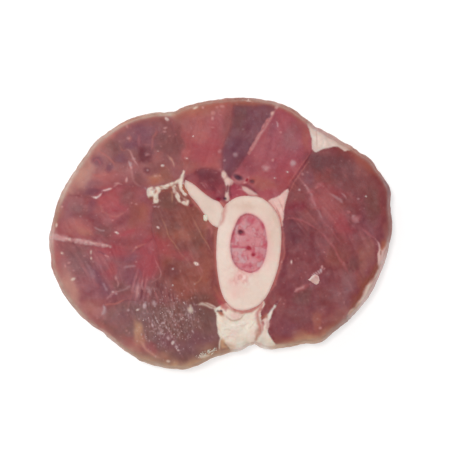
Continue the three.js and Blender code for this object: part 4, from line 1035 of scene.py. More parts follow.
# Spots in the fat and sinew: tone, strength, height, pixel, radii and turn
FAT_SPOTS = (
    ("crimson_dark", .60, -.08, (263, 323), .55, .75, 15), ("tan", .35, 0, (344, 143), 2.2, 1.2, -30),
    ("cream", .60, .12, (68.5, 239.5), 1.2, .85, -8), ("cream", .40, .10, (78.5, 239), 1.2, .60, 0),
    ("cream", .35, .10, (85.5, 242.6), .90, .80, -15), ("cream", .45, .10, (95, 243), 1.6, .70, -5),
    ("cream", .50, .10, (108, 245), 1.6, .90, 20), ("rose", .60, .00, (60, 236.5), 1.1, .70, -8),
    ("rose", .60, .00, (73.5, 239.5), .80, .70, 0), ("rose", .65, .00, (83, 241), .80, .80, -30),
    ("rose", .60, .00, (88.4, 243.2), .50, .90, 0), ("rose", .70, .00, (97, 243.4), 1.2, .90, 0),
    ("rose", .65, .00, (105.7, 245.5), .55, .90, 0), ("cream", .65, .12, (273, 112), 1.6, .90, 45),
    ("cream", .40, .06, (278, 107), 1.6, .80, 40), ("pink_bone", .40, .00, (230, 178), 1.4, 2.0, 0),
    ("cream", .50, .06, (224, 176), 1.2, 2.0, 20), ("tan", .40, -.10, (229, 344), 1.8, 1.2, 0),
    ("cream", .50, .10, (240, 340), 3.0, 2.0, 0), ("membrane", .35, .00, (219, 322), 1.6, 4.5, 0),
    ("cream", .50, .10, (154, 190), 2.0, 1.2, 0), ("cream", .60, .12, (186, 202), 1.4, 1.2, 0),
    ("ochre", .40, -.06, (232, 347), 2.0, 1.0, 0),
)
relief = np.zeros_like(face.X)
draw_lines(pale, relief, FAT_LINES)
draw_spots(pale, relief, FAT_SPOTS, firmness=1.3)
flesh = joined(meat, pale)
draw_lines(flesh, relief, LINES)
draw_spots(flesh, relief, FLECKS, firmness=1.8, bend=0.22)

# Scored lines and pale dust that the saw left on a patch of the bottom muscle
SAWN_MIDDLE = (172, 322)
SAWN_LONG = 11.0
SAWN_WIDE = 9.0
SAWN_DIRECTION = 100
sawn = np.zeros_like(face.X)
lift(sawn, spot(SAWN_MIDDLE, SAWN_LONG, SAWN_WIDE, firmness=1.6), 1.0)
sawn *= meat_cover
scores = face.grain(51, 2.2, 0.16, SAWN_DIRECTION)
dusting = face.grain(57, 0.35, 0.2, SAWN_DIRECTION) * (0.6 + 0.4 * face.grain(58, 1.4))
tint_all(flesh, sawn * np.maximum(scores - 0.4, 0), "frost", 0.22)
tint_all(flesh, sawn * np.maximum(dusting - 0.6, 0), "frost", 0.45)
tint_all(flesh, sawn * np.maximum(-scores - 0.4, 0), "umber", 0.25)
relief += 0.03 * sawn * scores

# Specks: some scattered round that patch, and fainter ones over the whole slice, which are painted
# highlights of the moist film
SAWN_SPECKS = 300
SAWN_SCATTER = (17, 15)
MOIST_GLINT_SPECKS = 700
SLICE_COLUMNS = (50, 392)
SLICE_ROWS = (96, 370)
dice = np.random.default_rng(52)
for _ in range(SAWN_SPECKS):
    x, y = dice.normal(SAWN_MIDDLE[0], SAWN_SCATTER[0]), dice.normal(SAWN_MIDDLE[1], SAWN_SCATTER[1])
    size, strength = dice.uniform(0.13, 0.25), dice.uniform(0.25, 0.85)
    mark = spot((x, y), size * dice.uniform(1.0, 2.2), size, dice.normal(SAWN_DIRECTION, 12), firmness=1.5)
    tint(flesh, mark, "frost", strength)
    lift(relief, mark, 0.05 * strength)
# Faint blush specks over the whole slice: painted highlights of the moist film, each on a tiny bump
for _ in range(MOIST_GLINT_SPECKS):
    x, y = dice.uniform(*SLICE_COLUMNS), dice.uniform(*SLICE_ROWS)
    size, strength = dice.uniform(0.14, 0.34), dice.uniform(0.08, 0.34)
    mark = spot((x, y), size * dice.uniform(1.0, 1.8), size, dice.uniform(0, 180), firmness=1.5)
    tint(flesh, mark, "blush", strength)
    lift(relief, mark, 0.04 * strength)

bone = base_canvas(hard_share)
bone += (1.2 * face.grain(34, 2.0) + 0.8 * face.grain(35, 0.4))[..., None]
bone_under = bone.copy()

# The bones: shades of the sawn face, a pink halo round the marrow, a pink seam between the two
# bones, and spongy bone below the marrow. Each shade: tone, strength, pixel, radii, turn, firmness
BONE_SHADES = (
    ("white", .22, (224, 245), 3.0, 14.0, 0, 1.0), ("tan", .18, (273, 225), 2.4, 9.0, 0, 1.0),
    ("tan", .22, (245, 206), 6.0, 1.8, 0, 1.0),
)
HALO_SHADES = (("pink_bone", .45, (268, 245), 1.6, 9.0, 4, 1.0),)
SPONGE_SHADES = (
    ("pink_bone", .95, (240, 275), 4.4, 2.8, 15, 1.5), ("pink_bone", .55, (235, 283), 2.0, 2.4, 0, 1.0),
    ("pink_bone", .30, (238, 291), 3.0, 2.4, 0, 1.0),
)
BONE_SEAM = ((223, 200), (225, 207), (224, 215), (221, 224), (218, 229))
BONE_SEAM_TOP = ((221, 199), (225, 204))
# The spongy bone: its middle, radii and turn
SPONGE = ((241, 275), 4.2, 3.0, 10)


def shade_bone(shades):
    """Draws soft shades on the sawn bone."""
    for tone, strength, pixel, long, wide, turn, firmness in shades:
        tint(bone, spot(pixel, long, wide, turn, firmness), tone, strength)


shade_bone(BONE_SHADES)
tint_all(bone, np.clip(2 * face.blur(solid["marrow"], 1.2), 0, 1), "pink_bone", 0.60)
shade_bone(HALO_SHADES)
tint_all(bone, np.clip(2 * face.blur(solid["marrow"], 0.35), 0, 1), "pink", 0.70)
# The bone's edge painted lighter pink: partly its own pink rim, partly painted light against the shade
# where the edge is rounded
tint_all(bone, bone_edge, "blush", 0.45)
tint(bone, stroke(BONE_SEAM, 0.80), "salmon", 0.55)
tint(bone, stroke(BONE_SEAM_TOP, 1.2), "pink_bone", 0.90)
shade_bone(SPONGE_SHADES)
sponge = face.grain(69, 0.34)
sponge_part, sponge_mask = sponge_mark = spot(*SPONGE)
pores = sponge[sponge_part]
tint(bone, (sponge_part, sponge_mask * np.clip(pores, 0, 1.5)), "salmon", 0.22)
tint(bone, (sponge_part, sponge_mask * np.clip(-pores - 0.4, 0, 1.5)), "white", 0.35)
saw_marks = face.grain(53, 9.0, 0.28, 12)

# The marrow: pale pink cells between thin red veins, with a few dark holes and red spots; the darkest hole
# has painted shade in it
tint_all(bone, solid["marrow"], "marrow", 0.8)
cells = face.grain(54, 0.9) + 0.40 * face.grain(59, 0.4)
tint_all(bone, solid["marrow"] * smoothstep(cells, -0.6, 1.2), "frost", 0.55)
veins = np.exp(-(cells / 0.25) ** 2)
tint_all(bone, solid["marrow"] * veins, "red", 0.42)
marrow_rim = np.clip(solid["marrow"] * (1.9 - 2.1 * face.blur(solid["marrow"], 0.7)), 0, 1)
tint_all(bone, marrow_rim * (0.6 + 0.3 * face.grain(60, 0.8)), "crimson", 0.60)
# Spots in the marrow: tone, strength, height, pixel, radii and turn
MARROW_SPOTS = (
    ("crimson", .85, .00, (250.5, 220), 2.0, 1.5, -10), ("crimson", .65, .00, (240, 221), .8, 1.9, -35),
    ("crimson", .80, .00, (262.5, 226), .70, 1.6, 20), ("crimson", .60, .00, (264.5, 243), .80, 2.6, 0),
    ("crimson", .60, .00, (233.5, 238), .80, 2.8, 0), ("crimson", .40, .00, (260, 254), 1.6, 2.6, 0),
    ("crimson", .40, .00, (246, 266), 2.6, .90, 0), ("crimson", .35, .00, (237, 246), 2.2, .50, -8),
    ("crimson", .40, .00, (244, 257), .50, 1.8, 30), ("pink", .70, .05, (244, 224), 1.0, 1.4, 20),
    ("pink", .60, .05, (241, 238), 2.2, 1.2, 0), ("pink", .60, .05, (236, 254), 1.2, 2.2, 0),
    ("pink", .60, .05, (254, 233), 2.0, 1.2, 0), ("pink", .65, .05, (252, 262), 1.8, 1.2, 0),
    ("crimson", .55, -.10, (251, 250), 1.6, .60, -40),
    # The darkest hole, on the next two lines, is dark red with painted shade in it
    ("crimson_dark", 1.0, -.20, (241.6, 232.6), 1.2, 1.05, 0),
    ("hole_shade", .60, -.10, (240.8, 232.2), .85, .80, 0), ("blood", 1.0, -.15, (249, 248), 1.0, .70, -15),
    ("blood", .90, -.12, (253.5, 254.5), .85, .70, 40), ("crimson", .70, .00, (243, 247.5), 2.6, .40, 0),
    ("crimson", .70, .00, (235, 246.5), 1.8, .50, 10), ("crimson", .60, .00, (254, 250), .50, 1.4, 0),
    ("crimson", .70, .00, (258, 257), .70, .60, 0), ("crimson", .60, .00, (250.5, 265), .50, 1.2, 0),
    ("crimson", .60, .00, (248, 240), .80, .40, 0), ("crimson", .50, .00, (256, 234), 1.0, .40, -30),
    ("crimson", .55, .00, (248, 258), .40, 1.2, 10), ("crimson", .60, -.05, (243, 234.5), 1.0, .50, 0),
    ("crimson", .50, .00, (257, 230), .60, .60, 0),
)
marrow_relief = 0.07 * face.grain(55, 0.7) + 0.03 * face.grain(56, 0.3)
draw_spots(bone, marrow_relief, MARROW_SPOTS, firmness=1.6, bend=0.12)


# Heights of the cut face

def frame_heights(nodes, step):
    """The upper faces of some nodes of the frame, seen from above on a coarser grid."""
    points, triangles = [], []
    for node in nodes:
        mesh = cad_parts[node].data
        mesh.calc_loop_triangles()
        first = len(points)
        points += [vertex.co / MM for vertex in mesh.vertices]
        triangles += [[first + i for i in triangle.vertices] for triangle in mesh.loop_triangles]
    tree = BVHTree.FromPolygons(points, triangles)
    rows = range(0, len(face.y), step)
    columns = range(0, len(face.x), step)
    result = np.full((len(rows), len(columns)), np.nan)
    for j, row in enumerate(rows):
        for i, column in enumerate(columns):
            hit = tree.ray_cast(Vector((face.x[column], face.y[row], 2 * THICKNESS)), Vector((0, 0, -1)))[0]
            if hit is not None:
                result[j, i] = hit.z
    return np.repeat(np.repeat(result, step, 0), step, 1)[:len(face.y), :len(face.x)]


# The frame's bellies and valleys, smoothed, without the drop at the rim that is added again below
SWELL_STEP = 3
SWELL_BLUR = 1.1
edge_drop = EDGE_DROP * np.exp(-np.maximum(rim_depth, 0) / EDGE_REACH)
swell = frame_heights(FLESH, SWELL_STEP) - THICKNESS + edge_drop
swell[~(rim_depth > 0.4)] = np.nan
known = np.isfinite(swell)
cover = face.blur(known.astype(float), SWELL_BLUR)
swell = face.blur(np.where(known, swell, 0), SWELL_BLUR) / np.maximum(cover, 0.02)
swell = np.clip(swell, -1, 1.4)

lumps = 0.09 * face.grain(61, 2.4) + 0.03 * face.grain(62, 0.8) + 0.010 * face.grain(63, 0.32)
flesh_top = THICKNESS + swell + lumps + fibre_height
flesh_top += fat_share * (0.07 * face.grain(64, 0.9) + 0.03 * face.grain(65, 0.35))
flesh_top += sinew_share * (0.09 + 0.05 * face.grain(66, 0.5))
flesh_top += relief
flesh_top -= 0.10 * seam + 0.05 * pale_edge + 0.02 * bone_edge
flesh_top -= edge_drop


def sawn_top(level, bone_name, rounding):
    """The sawn face of a bone, with saw marks and an edge that is rounded by this much."""
    height = level + 0.006 * saw_marks + 0.008 * face.grain(67, 0.4)
    return height - rounding * (1 - smoothstep(face.blur(solid[bone_name], 0.3), 0.45, 0.95))


shin_top = sawn_top(SHIN_TOP, "shin_bone", 0.11)
spongy = np.zeros_like(face.X)
lift(spongy, sponge_mark, 1.0)
shin_top -= 0.10 * spongy * smoothstep(sponge, 0.2, 1.1)
side_top = sawn_top(SIDE_BONE_TOP, "side_bone", 0.10)
# The marrow rises a little where it sticks to the bone
marrow_wall = 1 - smoothstep(face.blur(solid["marrow"], 0.5), 0.4, 0.9)
marrow_top = MARROW_TOP + marrow_relief + 0.25 * marrow_wall


# The wall: silverskin with folds, over the meat

wall_cover = 0.62 + 0.14 * wall.grain(71, 5.0, 2.0) + 0.10 * wall.grain(72, 1.6, 0.5, 80)
wall_thin = np.clip(0.5 + 0.25 * wall.grain(78, 3.0, 1.4), 0, 1)
wall_light = 5 * wall.grain(73, 3.0, 1.5) + 4 * wall.grain(74, 0.9, 0.4)
wall_folds = 0.10 * wall.grain(75, 3.5, 1.2, 20) + 0.06 * wall.grain(76, 0.6, 2.2)
wall_folds += 0.03 * wall.grain(77, 0.5)


# Meshes

def hexagonal(low, high, step, seed):
    """Points on an even triangular grid, each a little off its place."""
    dice = np.random.default_rng(seed)
    rows = np.arange(low[1], high[1], step * math.sqrt(0.75))
    columns = np.arange(low[0], high[0], step)
    shift = np.where(np.arange(len(rows)) % 2, step / 2, 0)[:, None]
    x = np.broadcast_to(columns, (len(rows), len(columns))) + shift
    y = np.broadcast_to(rows[:, None], x.shape)
    points = np.stack([x, y], -1).reshape(-1, 2)
    return points + dice.uniform(-0.12, 0.12, points.shape) * step


def filled(loops, step, seed):
    """Triangles that fill an outline: its own points first, then even ones inside."""
    border = np.concatenate(loops)
    edges = []
    first = 0
    for loop in loops:
        count = len(loop)
        edges += [(first + i, first + (i + 1) % count) for i in range(count)]
        first += count
    tree = KDTree(len(border))
    for i, (x, y) in enumerate(border):
        tree.insert((x, y, 0), i)
    tree.balance()
    even = hexagonal(border.min(0), border.max(0), step, seed)
    even = even[inside(loops, even)]
    clear = [tree.find((x, y, 0))[2] > 0.55 * step for x, y in even]
    points = np.concatenate([border, even[np.array(clear, bool)]])
    found = delaunay_2d_cdt([Vector(p) for p in points], edges, [], 0, 1e-7, True)
    if len(found[0]) != len(points):
        crossings = [tuple(point) for point, group in zip(found[0], found[3]) if not group]
        raise ValueError(f"an outline crosses or touches itself, at {crossings[:3]}")
    origin = np.array([group[0] for group in found[3]])
    triangles = origin[np.array(found[2])]
    middle = points[triangles].mean(1)
    triangles = triangles[inside(loops, middle)]
    return points, triangles


def slab(loops, top, rows, bottom_z, seed):
    """A closed slab of meat: the cut face above, walls that follow the rim, a flat face below.

    Returns its points, its triangles, and each point's place in the shoulder's plane.
    """
    flat, upper = filled(loops, TOP_STEP, seed)
    under_flat, under = filled(loops, UNDER_STEP, seed + 1)
    border = sum(len(loop) for loop in loops)
    top_z = face.sample(top, flat[:, 0], flat[:, 1])
    points = [np.column_stack([flat, top_z])]
    places = [flat]
    triangles = [upper]

    # Rows of the wall, each as long as the border
    edge = flat[:border]
    depth, normal, where = at_rim(edge[:, 0], edge[:, 1])
    outer = np.exp(-np.maximum(depth, 0) / 0.8)
    for row in range(1, rows + 1):
        share = row / rows
        z = top_z[:border] * (1 - share) + bottom_z * share
        x, y = at_level(edge[:, 0], edge[:, 1], z)
        folds = wall.sample(wall_folds, where, z) * outer
        folds = folds * smoothstep(share, 0, 0.12) * smoothstep(1 - share, 0, 0.1)
        points.append(np.column_stack([x + normal[:, 0] * folds, y + normal[:, 1] * folds, z]))
        places.append(edge)
    starts = [0] + [len(flat) + k * border for k in range(rows)]
    first = 0
    for loop in loops:
        index = first + np.arange(len(loop))
        following = first + (np.arange(len(loop)) + 1) % len(loop)
        for a, b in zip(starts, starts[1:]):
            triangles.append(np.stack([a + index, b + index, b + following], 1))
            triangles.append(np.stack([a + index, b + following, a + following], 1))
        first += len(loop)

    # The face below shares the last row
    inner = under_flat[border:]
    x, y = at_level(inner[:, 0], inner[:, 1], bottom_z)
    hollow = bottom_z + 0.05 * np.clip(1 + face.sample(lumps, inner[:, 0], inner[:, 1]) * 8, 0, 3)
    fresh = len(flat) + rows * border
    points.append(np.column_stack([x, y, hollow]))
    places.append(inner)
    renumber = np.concatenate([starts[-1] + np.arange(border), fresh + np.arange(len(inner))])
    triangles.append(renumber[under][:, ::-1])
    return np.concatenate(points), np.concatenate(triangles), np.concatenate(places)


def to_albedo(colour):
    """The share of light that a surface reflects to look like a tone through its moist film."""
    share = np.clip(colour, 0, 255) / 255
    linear = np.where(share <= 0.04045, share / 12.92, ((share + 0.055) / 1.055) ** 2.4)
    return np.clip((linear - FILM_GLARE) / DAYLIGHT, 0.004, 0.95)


def make_piece(name, points, triangles, colour, skin, material, sharp=50):
    """A smooth mesh object whose colour is on its points."""
    mesh = bpy.data.meshes.new(name)
    mesh.vertices.add(len(points))
    mesh.vertices.foreach_set("co", (points * MM).astype(np.float32).ravel())
    mesh.loops.add(triangles.size)
    mesh.loops.foreach_set("vertex_index", triangles.astype(np.int32).ravel())
    mesh.polygons.add(len(triangles))
    mesh.polygons.foreach_set("loop_start", np.arange(0, triangles.size, 3, dtype=np.int32))
    mesh.update(calc_edges=True)
    mesh.validate()
    mesh.polygons.foreach_set("use_smooth", np.ones(len(triangles), bool))
    mesh.set_sharp_from_angle(angle=math.radians(sharp))
    paint = mesh.color_attributes.new("paint", "FLOAT_COLOR", "POINT")
    rgba = np.column_stack([to_albedo(colour), np.ones(len(points))])
    paint.data.foreach_set("color", rgba.astype(np.float32).ravel())
    mesh.attributes.new("skin", "FLOAT", "POINT").data.foreach_set("value", skin.astype(np.float32))
    mesh.materials.append(material)
    piece = bpy.data.objects.new(name, mesh)
    bpy.context.scene.collection.objects.link(piece)
    return piece


def painted(points, places, upper, under, is_flesh):
    """Colour of each point: the cut face above, its plainer copy below, silverskin on the wall."""
    x, y, z = places[:, 0], places[:, 1], points[:, 2]
    above = smoothstep(z, SHOULDER_Z - 1.5, SHOULDER_Z + 0.5)[:, None]
    colour = face.sample(under, x, y) * (1 - above) + face.sample(upper, x, y) * above
    if not is_flesh:
        return colour, np.zeros(len(points))
    depth, _, where = at_rim(x, y)
    on_wall = np.exp(-(np.maximum(depth, 0) / 0.7) ** 2)
    on_wall = on_wall * (1 - smoothstep(z, SHOULDER_Z - 0.4, THICKNESS - 0.4)) * smoothstep(z, 0, 0.8)
    skin = np.clip(on_wall * wall.sample(wall_cover, where, z), 0, 1)
    thin = wall.sample(wall_thin, where, z)[:, None]
    silverskin = along_rim(where, BAND_TONE) * thin + along_rim(where, EDGE_TONE) * (1 - thin)
    colour += (silverskin - colour) * skin[:, None]
    colour += (wall.sample(wall_light, where, z) * on_wall)[:, None]
    return colour, skin


# Materials

def node(tree, kind, values=None, **settings):
    """A shader node; a value that is a socket is linked, any other is set."""
    made = tree.nodes.new(kind)
    for name, value in settings.items():
        setattr(made, name, value)
    for socket, value in (values or {}).items():
        if isinstance(value, bpy.types.NodeSocket):
            tree.links.new(value, made.inputs[socket])
        else:
            made.inputs[socket].default_value = value
    return made


def ranged(tree, value, low, high, to_low, to_high):
    settings = {"Value": value, "From Min": low, "From Max": high, "To Min": to_low, "To Max": to_high}
    return node(tree, "ShaderNodeMapRange", settings).outputs["Result"]


def maths(tree, operation, first, second):
    return node(tree, "ShaderNodeMath", {0: first, 1: second}, operation=operation).outputs[0]


def vector_maths(tree, operation, first, second):
    settings = {0: first, 1: second}
    return node(tree, "ShaderNodeVectorMath", settings, operation=operation).outputs[0]


def noise(tree, where, size, detail=3.0):
    """Cloudy noise with spots of this size in millimetres, from 0 to 1."""
    settings = {"Vector": where, "Scale": 1 / (size * MM), "Detail": detail, "Roughness": 0.6}
    return node(tree, "ShaderNodeTexNoise", settings).outputs["Fac"]


def blended(tree, share, first, second, blend="MIX"):
    mixer = node(tree, "ShaderNodeMix", data_type="RGBA", blend_type=blend)
    for socket, value in ((mixer.inputs[0], share), (mixer.inputs[6], first), (mixer.inputs[7], second)):
        if isinstance(value, bpy.types.NodeSocket):
            tree.links.new(value, socket)
        else:
            socket.default_value = value
    return mixer.outputs[2]


def shaded(tree, colour, light):
    """A colour made darker or lighter by a factor."""
    factor = node(tree, "ShaderNodeCombineColor", {0: light, 1: light, 2: light}).outputs[0]
    return blended(tree, 1.0, colour, factor, "MULTIPLY")


def grey(value):
    return (value, value, value, 1)


# The net round the bundles of meat: its tone, and how far and how widely its lines bend
NET_TONE = (0.72, 0.42, 0.40, 1)
NET_BEND = 0.9
NET_BEND_SIZE = 2.0
# How far red, green and blue light go in, beside each other
GLOW_REACH = (1.0, 0.35, 0.25)


def painted_material(name, mottle, cells, cell_line, grain_size, bump, rough, glow, glow_depth, coat):
    """A moist surface whose broad colours are on the mesh and whose fine grain is made here.

    mottle: how far the fine grain changes the colour; cells, cell_line: size and strength of the
    pale net round the bundles; grain_size, bump: size of the finest grain and depth of the relief,
    in millimetres; rough: the lowest and highest roughness; glow, glow_depth: how much light goes
    in, and how deep; coat: the film of moisture.
    """
    material = bpy.data.materials.new(name)
    material.use_nodes = True
    tree = material.node_tree
    shader = tree.nodes["Principled BSDF"]
    where = node(tree, "ShaderNodeTexCoord").outputs["Object"]
    colour = node(tree, "ShaderNodeAttribute", attribute_name="paint").outputs["Color"]
    skin = node(tree, "ShaderNodeAttribute", attribute_name="skin").outputs["Fac"]

    # Fine grain at two scales
    coarse = noise(tree, where, 1.1, 4.0)
    fine = noise(tree, where, grain_size, 3.0)
    colour = shaded(tree, colour, ranged(tree, coarse, 0.3, 0.7, 1 - mottle, 1 + mottle))
    colour = shaded(tree, colour, ranged(tree, fine, 0.3, 0.7, 1 - 0.7 * mottle, 1 + 0.7 * mottle))

    # The pale net between the bundles
    settings = {"Vector": where, "Scale": 1 / (NET_BEND_SIZE * MM), "Detail": 2.0}
    shift = node(tree, "ShaderNodeTexNoise", settings).outputs["Color"]
    moved = vector_maths(tree, "MULTIPLY", shift, (NET_BEND * MM,) * 3)
    bent = vector_maths(tree, "ADD", where, moved)
    net = node(tree, "ShaderNodeTexVoronoi", {"Vector": bent, "Scale": 1 / (cells * MM)},
               feature="DISTANCE_TO_EDGE").outputs["Distance"]
    line = ranged(tree, net, 0.0, 0.16, 1.0, 0.0)
    patchy = maths(tree, "MULTIPLY", line, ranged(tree, noise(tree, where, 3.0), 0.4, 0.65, 0.1, 1.0))
    share = maths(tree, "MULTIPLY", patchy, cell_line)
    colour = blended(tree, share, colour, NET_TONE)
    tree.links.new(colour, shader.inputs["Base Color"])

    # Relief and roughness
    height = maths(tree, "ADD", fine, maths(tree, "MULTIPLY", coarse, 0.8))
    height = maths(tree, "SUBTRACT", height, maths(tree, "MULTIPLY", line, 0.35))
    normal = node(tree, "ShaderNodeBump", {"Height": height, "Distance": bump * MM, "Strength": 1.0})
    tree.links.new(normal.outputs["Normal"], shader.inputs["Normal"])
    wet = noise(tree, where, 2.4, 3.0)
    roughness = ranged(tree, wet, 0.35, 0.65, rough[0], rough[1])
    roughness = maths(tree, "SUBTRACT", roughness, maths(tree, "MULTIPLY", skin, 0.08))
    tree.links.new(roughness, shader.inputs["Roughness"])
    shader.inputs["Subsurface Weight"].default_value = glow
    shader.inputs["Subsurface Radius"].default_value = GLOW_REACH
    shader.inputs["Subsurface Scale"].default_value = glow_depth * MM
    shader.inputs["Coat Weight"].default_value = coat
    shader.inputs["Coat Roughness"].default_value = 0.3
    shader.inputs["Specular IOR Level"].default_value = 0.25
    return material


# Each material's mottle, cells, cell_line, grain_size, bump, rough, glow, glow_depth and coat
SURFACES = {
    "meat": (.03, 1.35, .012, .26, .05, (.55, .72), .25, 1.4, .04),
    "fat": (.025, 1.8, .04, .40, .10, (.46, .62), .35, 2.2, .08),
    "sinew": (.03, 1.2, .05, .30, .08, (.44, .60), .25, 1.2, .10),
    "bone": (.012, .9, .02, .22, .04, (.42, .58), .30, 1.8, .05),
    "marrow": (.03, .95, .05, .30, .08, (.45, .60), .30, 1.6, .08),
}
materials = {name: painted_material(name, *values) for name, values in SURFACES.items()}


# The pieces of the slice

def slot_of(node_name):
    if node_name in MUSCLES:
        return "meat"
    if node_name in FATS:
        return "fat"
    if node_name in SINEWS:
        return "sinew"
    return "marrow" if node_name == "marrow" else "bone"


def dress(piece, node_name=None):
    """Says where a piece belongs, and hides the node of the frame that it replaces."""
    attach(piece, "root")
    if node_name:
        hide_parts(node_name)


tops = {"shin_bone": shin_top, "side_bone": side_top, "marrow": marrow_top}
canvases = {slot: (flesh, flesh_under) for slot in ("meat", "fat", "sinew")}
canvases.update({slot: (bone, bone_under) for slot in ("bone", "marrow")})
for seed, (node_name, loops) in enumerate(outlines.items(), 100):
    slot = slot_of(node_name)
    near_rim = at_rim(loops[0][:, 0], loops[0][:, 1])[0].min() < 1.0
    rows = RIM_ROWS if near_rim else INNER_ROWS
    bottom_z = MARROW_BOTTOM if node_name == "marrow" else 0.0
    points, triangles, places = slab(loops, tops.get(node_name, flesh_top), rows, bottom_z, 2 * seed)
    colour, skin = painted(points, places, *canvases[slot], node_name in FLESH)
    piece = make_piece(node_name + "_cut", points, triangles, colour, skin, materials[slot])
    dress(piece, node_name)


# What lies on the cut face: crumbs of fat and bone, a nub of fat, a flake and a film

def pebble():
    """The points and triangles of a ball of radius 1."""
    mesh = bpy.data.meshes.new("pebble")
    form = bmesh.new()
    bmesh.ops.create_icosphere(form, subdivisions=2, radius=1.0)
    form.to_mesh(mesh)
    form.free()
    points = np.array([vertex.co for vertex in mesh.vertices])
    triangles = np.array([list(polygon.vertices) for polygon in mesh.polygons])
    bpy.data.meshes.remove(mesh)
    return points, triangles


PEBBLE = pebble()


def crumbs(name, spots, tone, slot, flatness, seed):
    """Small uneven lumps, joined into one piece: each has a pixel, a radius and a stretch."""
    dice = np.random.default_rng(seed)
    ball, faces = PEBBLE
    points, triangles, colours = [], [], []
    for pixel, radius, stretch in spots:
        x, y = place(pixel)
        turn = dice.uniform(0, math.pi)
        rough = 1 + dice.normal(0, 0.10, (len(ball), 1))
        lump = ball * rough * (radius * stretch, radius, radius * flatness)
        cos, sin = math.cos(turn), math.sin(turn)
        u, v, w = lump.T
        lump = np.stack([u * cos - v * sin, u * sin + v * cos, w], 1)
        ground = float(face.sample(flesh_top, np.array([x]), np.array([y]))[0])
        triangles.append(faces + len(ball) * len(points))
        points.append(lump + (x, y, ground + 0.25 * radius * flatness))
        shade = np.array(TONES[tone], float) * dice.uniform(0.88, 1.04)
        colours.append(np.broadcast_to(shade, lump.shape) + dice.normal(0, 3, (len(ball), 1)))
    points, triangles, colours = map(np.concatenate, (points, triangles, colours))
    piece = make_piece(name, points, triangles, colours, np.zeros(len(points)), materials[slot], sharp=180)
    dress(piece)


def scrap(name, pixels, thickness, tone, slot, marks, seed):
    """A thin torn scrap that lies on the cut face, with marks on it."""
    outline = np.array([place(p) for p in pixels])
    line = np.concatenate([outline, outline[:1]])
    dense = smooth_line(line, 0.3)[:-1]
    dice = np.random.default_rng(seed)
    dense = dense + dice.normal(0, 0.07, dense.shape)
    if area(dense) < 0:
        dense = dense[::-1]
    flat, upper = filled([dense], 0.3, seed)
    x, y = flat[:, 0], flat[:, 1]
    ground = face.sample(flesh_top, x, y)
    depth = np.array([np.min(np.linalg.norm(dense - p, axis=1)) for p in flat])
    bulge = thickness * (0.35 + 0.65 * smoothstep(depth, 0, 0.5)) + 0.08 * face.sample(bend_x, x, y)
    coat = np.zeros(face.X.shape + (3,)) + TONES[tone]
    folds = np.zeros_like(face.X)
    draw_spots(coat, folds, marks, firmness=1.0)
    bulge += face.sample(folds, x, y)
    bulge[:len(dense)] = 0.06
    top = np.column_stack([flat, ground + np.maximum(bulge, 0.05)])
    low = np.column_stack([flat, ground - 0.12])
    border = np.arange(len(dense))
    following = np.roll(border, -1)
    count = len(flat)
    sides = np.concatenate([np.stack([border, border + count, following + count], 1),
                            np.stack([border, following + count, following], 1)])
    triangles = np.concatenate([upper, sides, upper[:, ::-1] + count])
    shade = face.sample(coat, x, y) + 5 * face.sample(bend_y, x, y)[:, None]
    colours = np.concatenate([shade, shade])
    points = np.concatenate([top, low])
    piece = make_piece(name, points, triangles, colours, np.zeros(len(points)), materials[slot])
    dress(piece)


# The crumbs of fat lie along a line at the lower rim
CRUMB_ROW = ((196, 357), (216, 349))
CRUMB_COUNT = 60
CRUMB_SCATTER = 1.3
# The crumbs of bone: those at a pixel of their own, and the pixel round which the others lie
BONE_DUST = (
    (158.5, 227.8), (163, 166), (158, 151.3), (166.5, 119.5), (117, 233), (61.7, 253.5), (91, 252.3),
    (73.3, 279.6), (138, 309.8), (173, 269), (196.5, 264), (172.8, 343), (168, 361), (248.5, 99.7),
    (195.5, 107), (187, 158.4), (193.2, 136.3), (287.5, 172), (274.5, 178), (366, 196.5), (291.5, 262),
    (176.5, 348.7), (184, 302.5), (172.8, 285),
)
DUST_COUNT = 40
DUST_MIDDLE = (174, 322)
DUST_SCATTER = (16, 13)
# The nub: its pixel, radius and stretch. The flake and the film: their outlines
NUB = ((205.6, 218), 0.95, 1.5)
FLAKE = (
    (307.8, 280), (310.5, 277.5), (313, 275), (316, 274.5), (318.5, 276.5), (319.3, 281), (317, 284.5),
    (313, 283), (310.5, 281.2),
)
FILM = (
    (182.2, 184.5), (183.8, 184.5), (185.4, 188), (188.4, 192.6), (188, 194.4), (185.6, 193),
    (182.8, 189.5),
)
# Marks on the flake: tone, strength, height, pixel, radii and turn. The two white ones along its upper-left
# edge are partly the pale tone of a raised fold and partly a painted highlight
FLAKE_MARKS_AND_HIGHLIGHTS = (
    ("white", .75, .20, (310, 279), 1.1, .50, 38), ("white", .45, .15, (313, 276.3), .90, .40, 35),
    ("cream", .60, .12, (317.5, 283), .60, .50, 40), ("rose", .35, -.05, (315.5, 277.5), .70, .45, -50),
    ("putty", .50, -.05, (315, 281), 1.1, .60, -20),
)

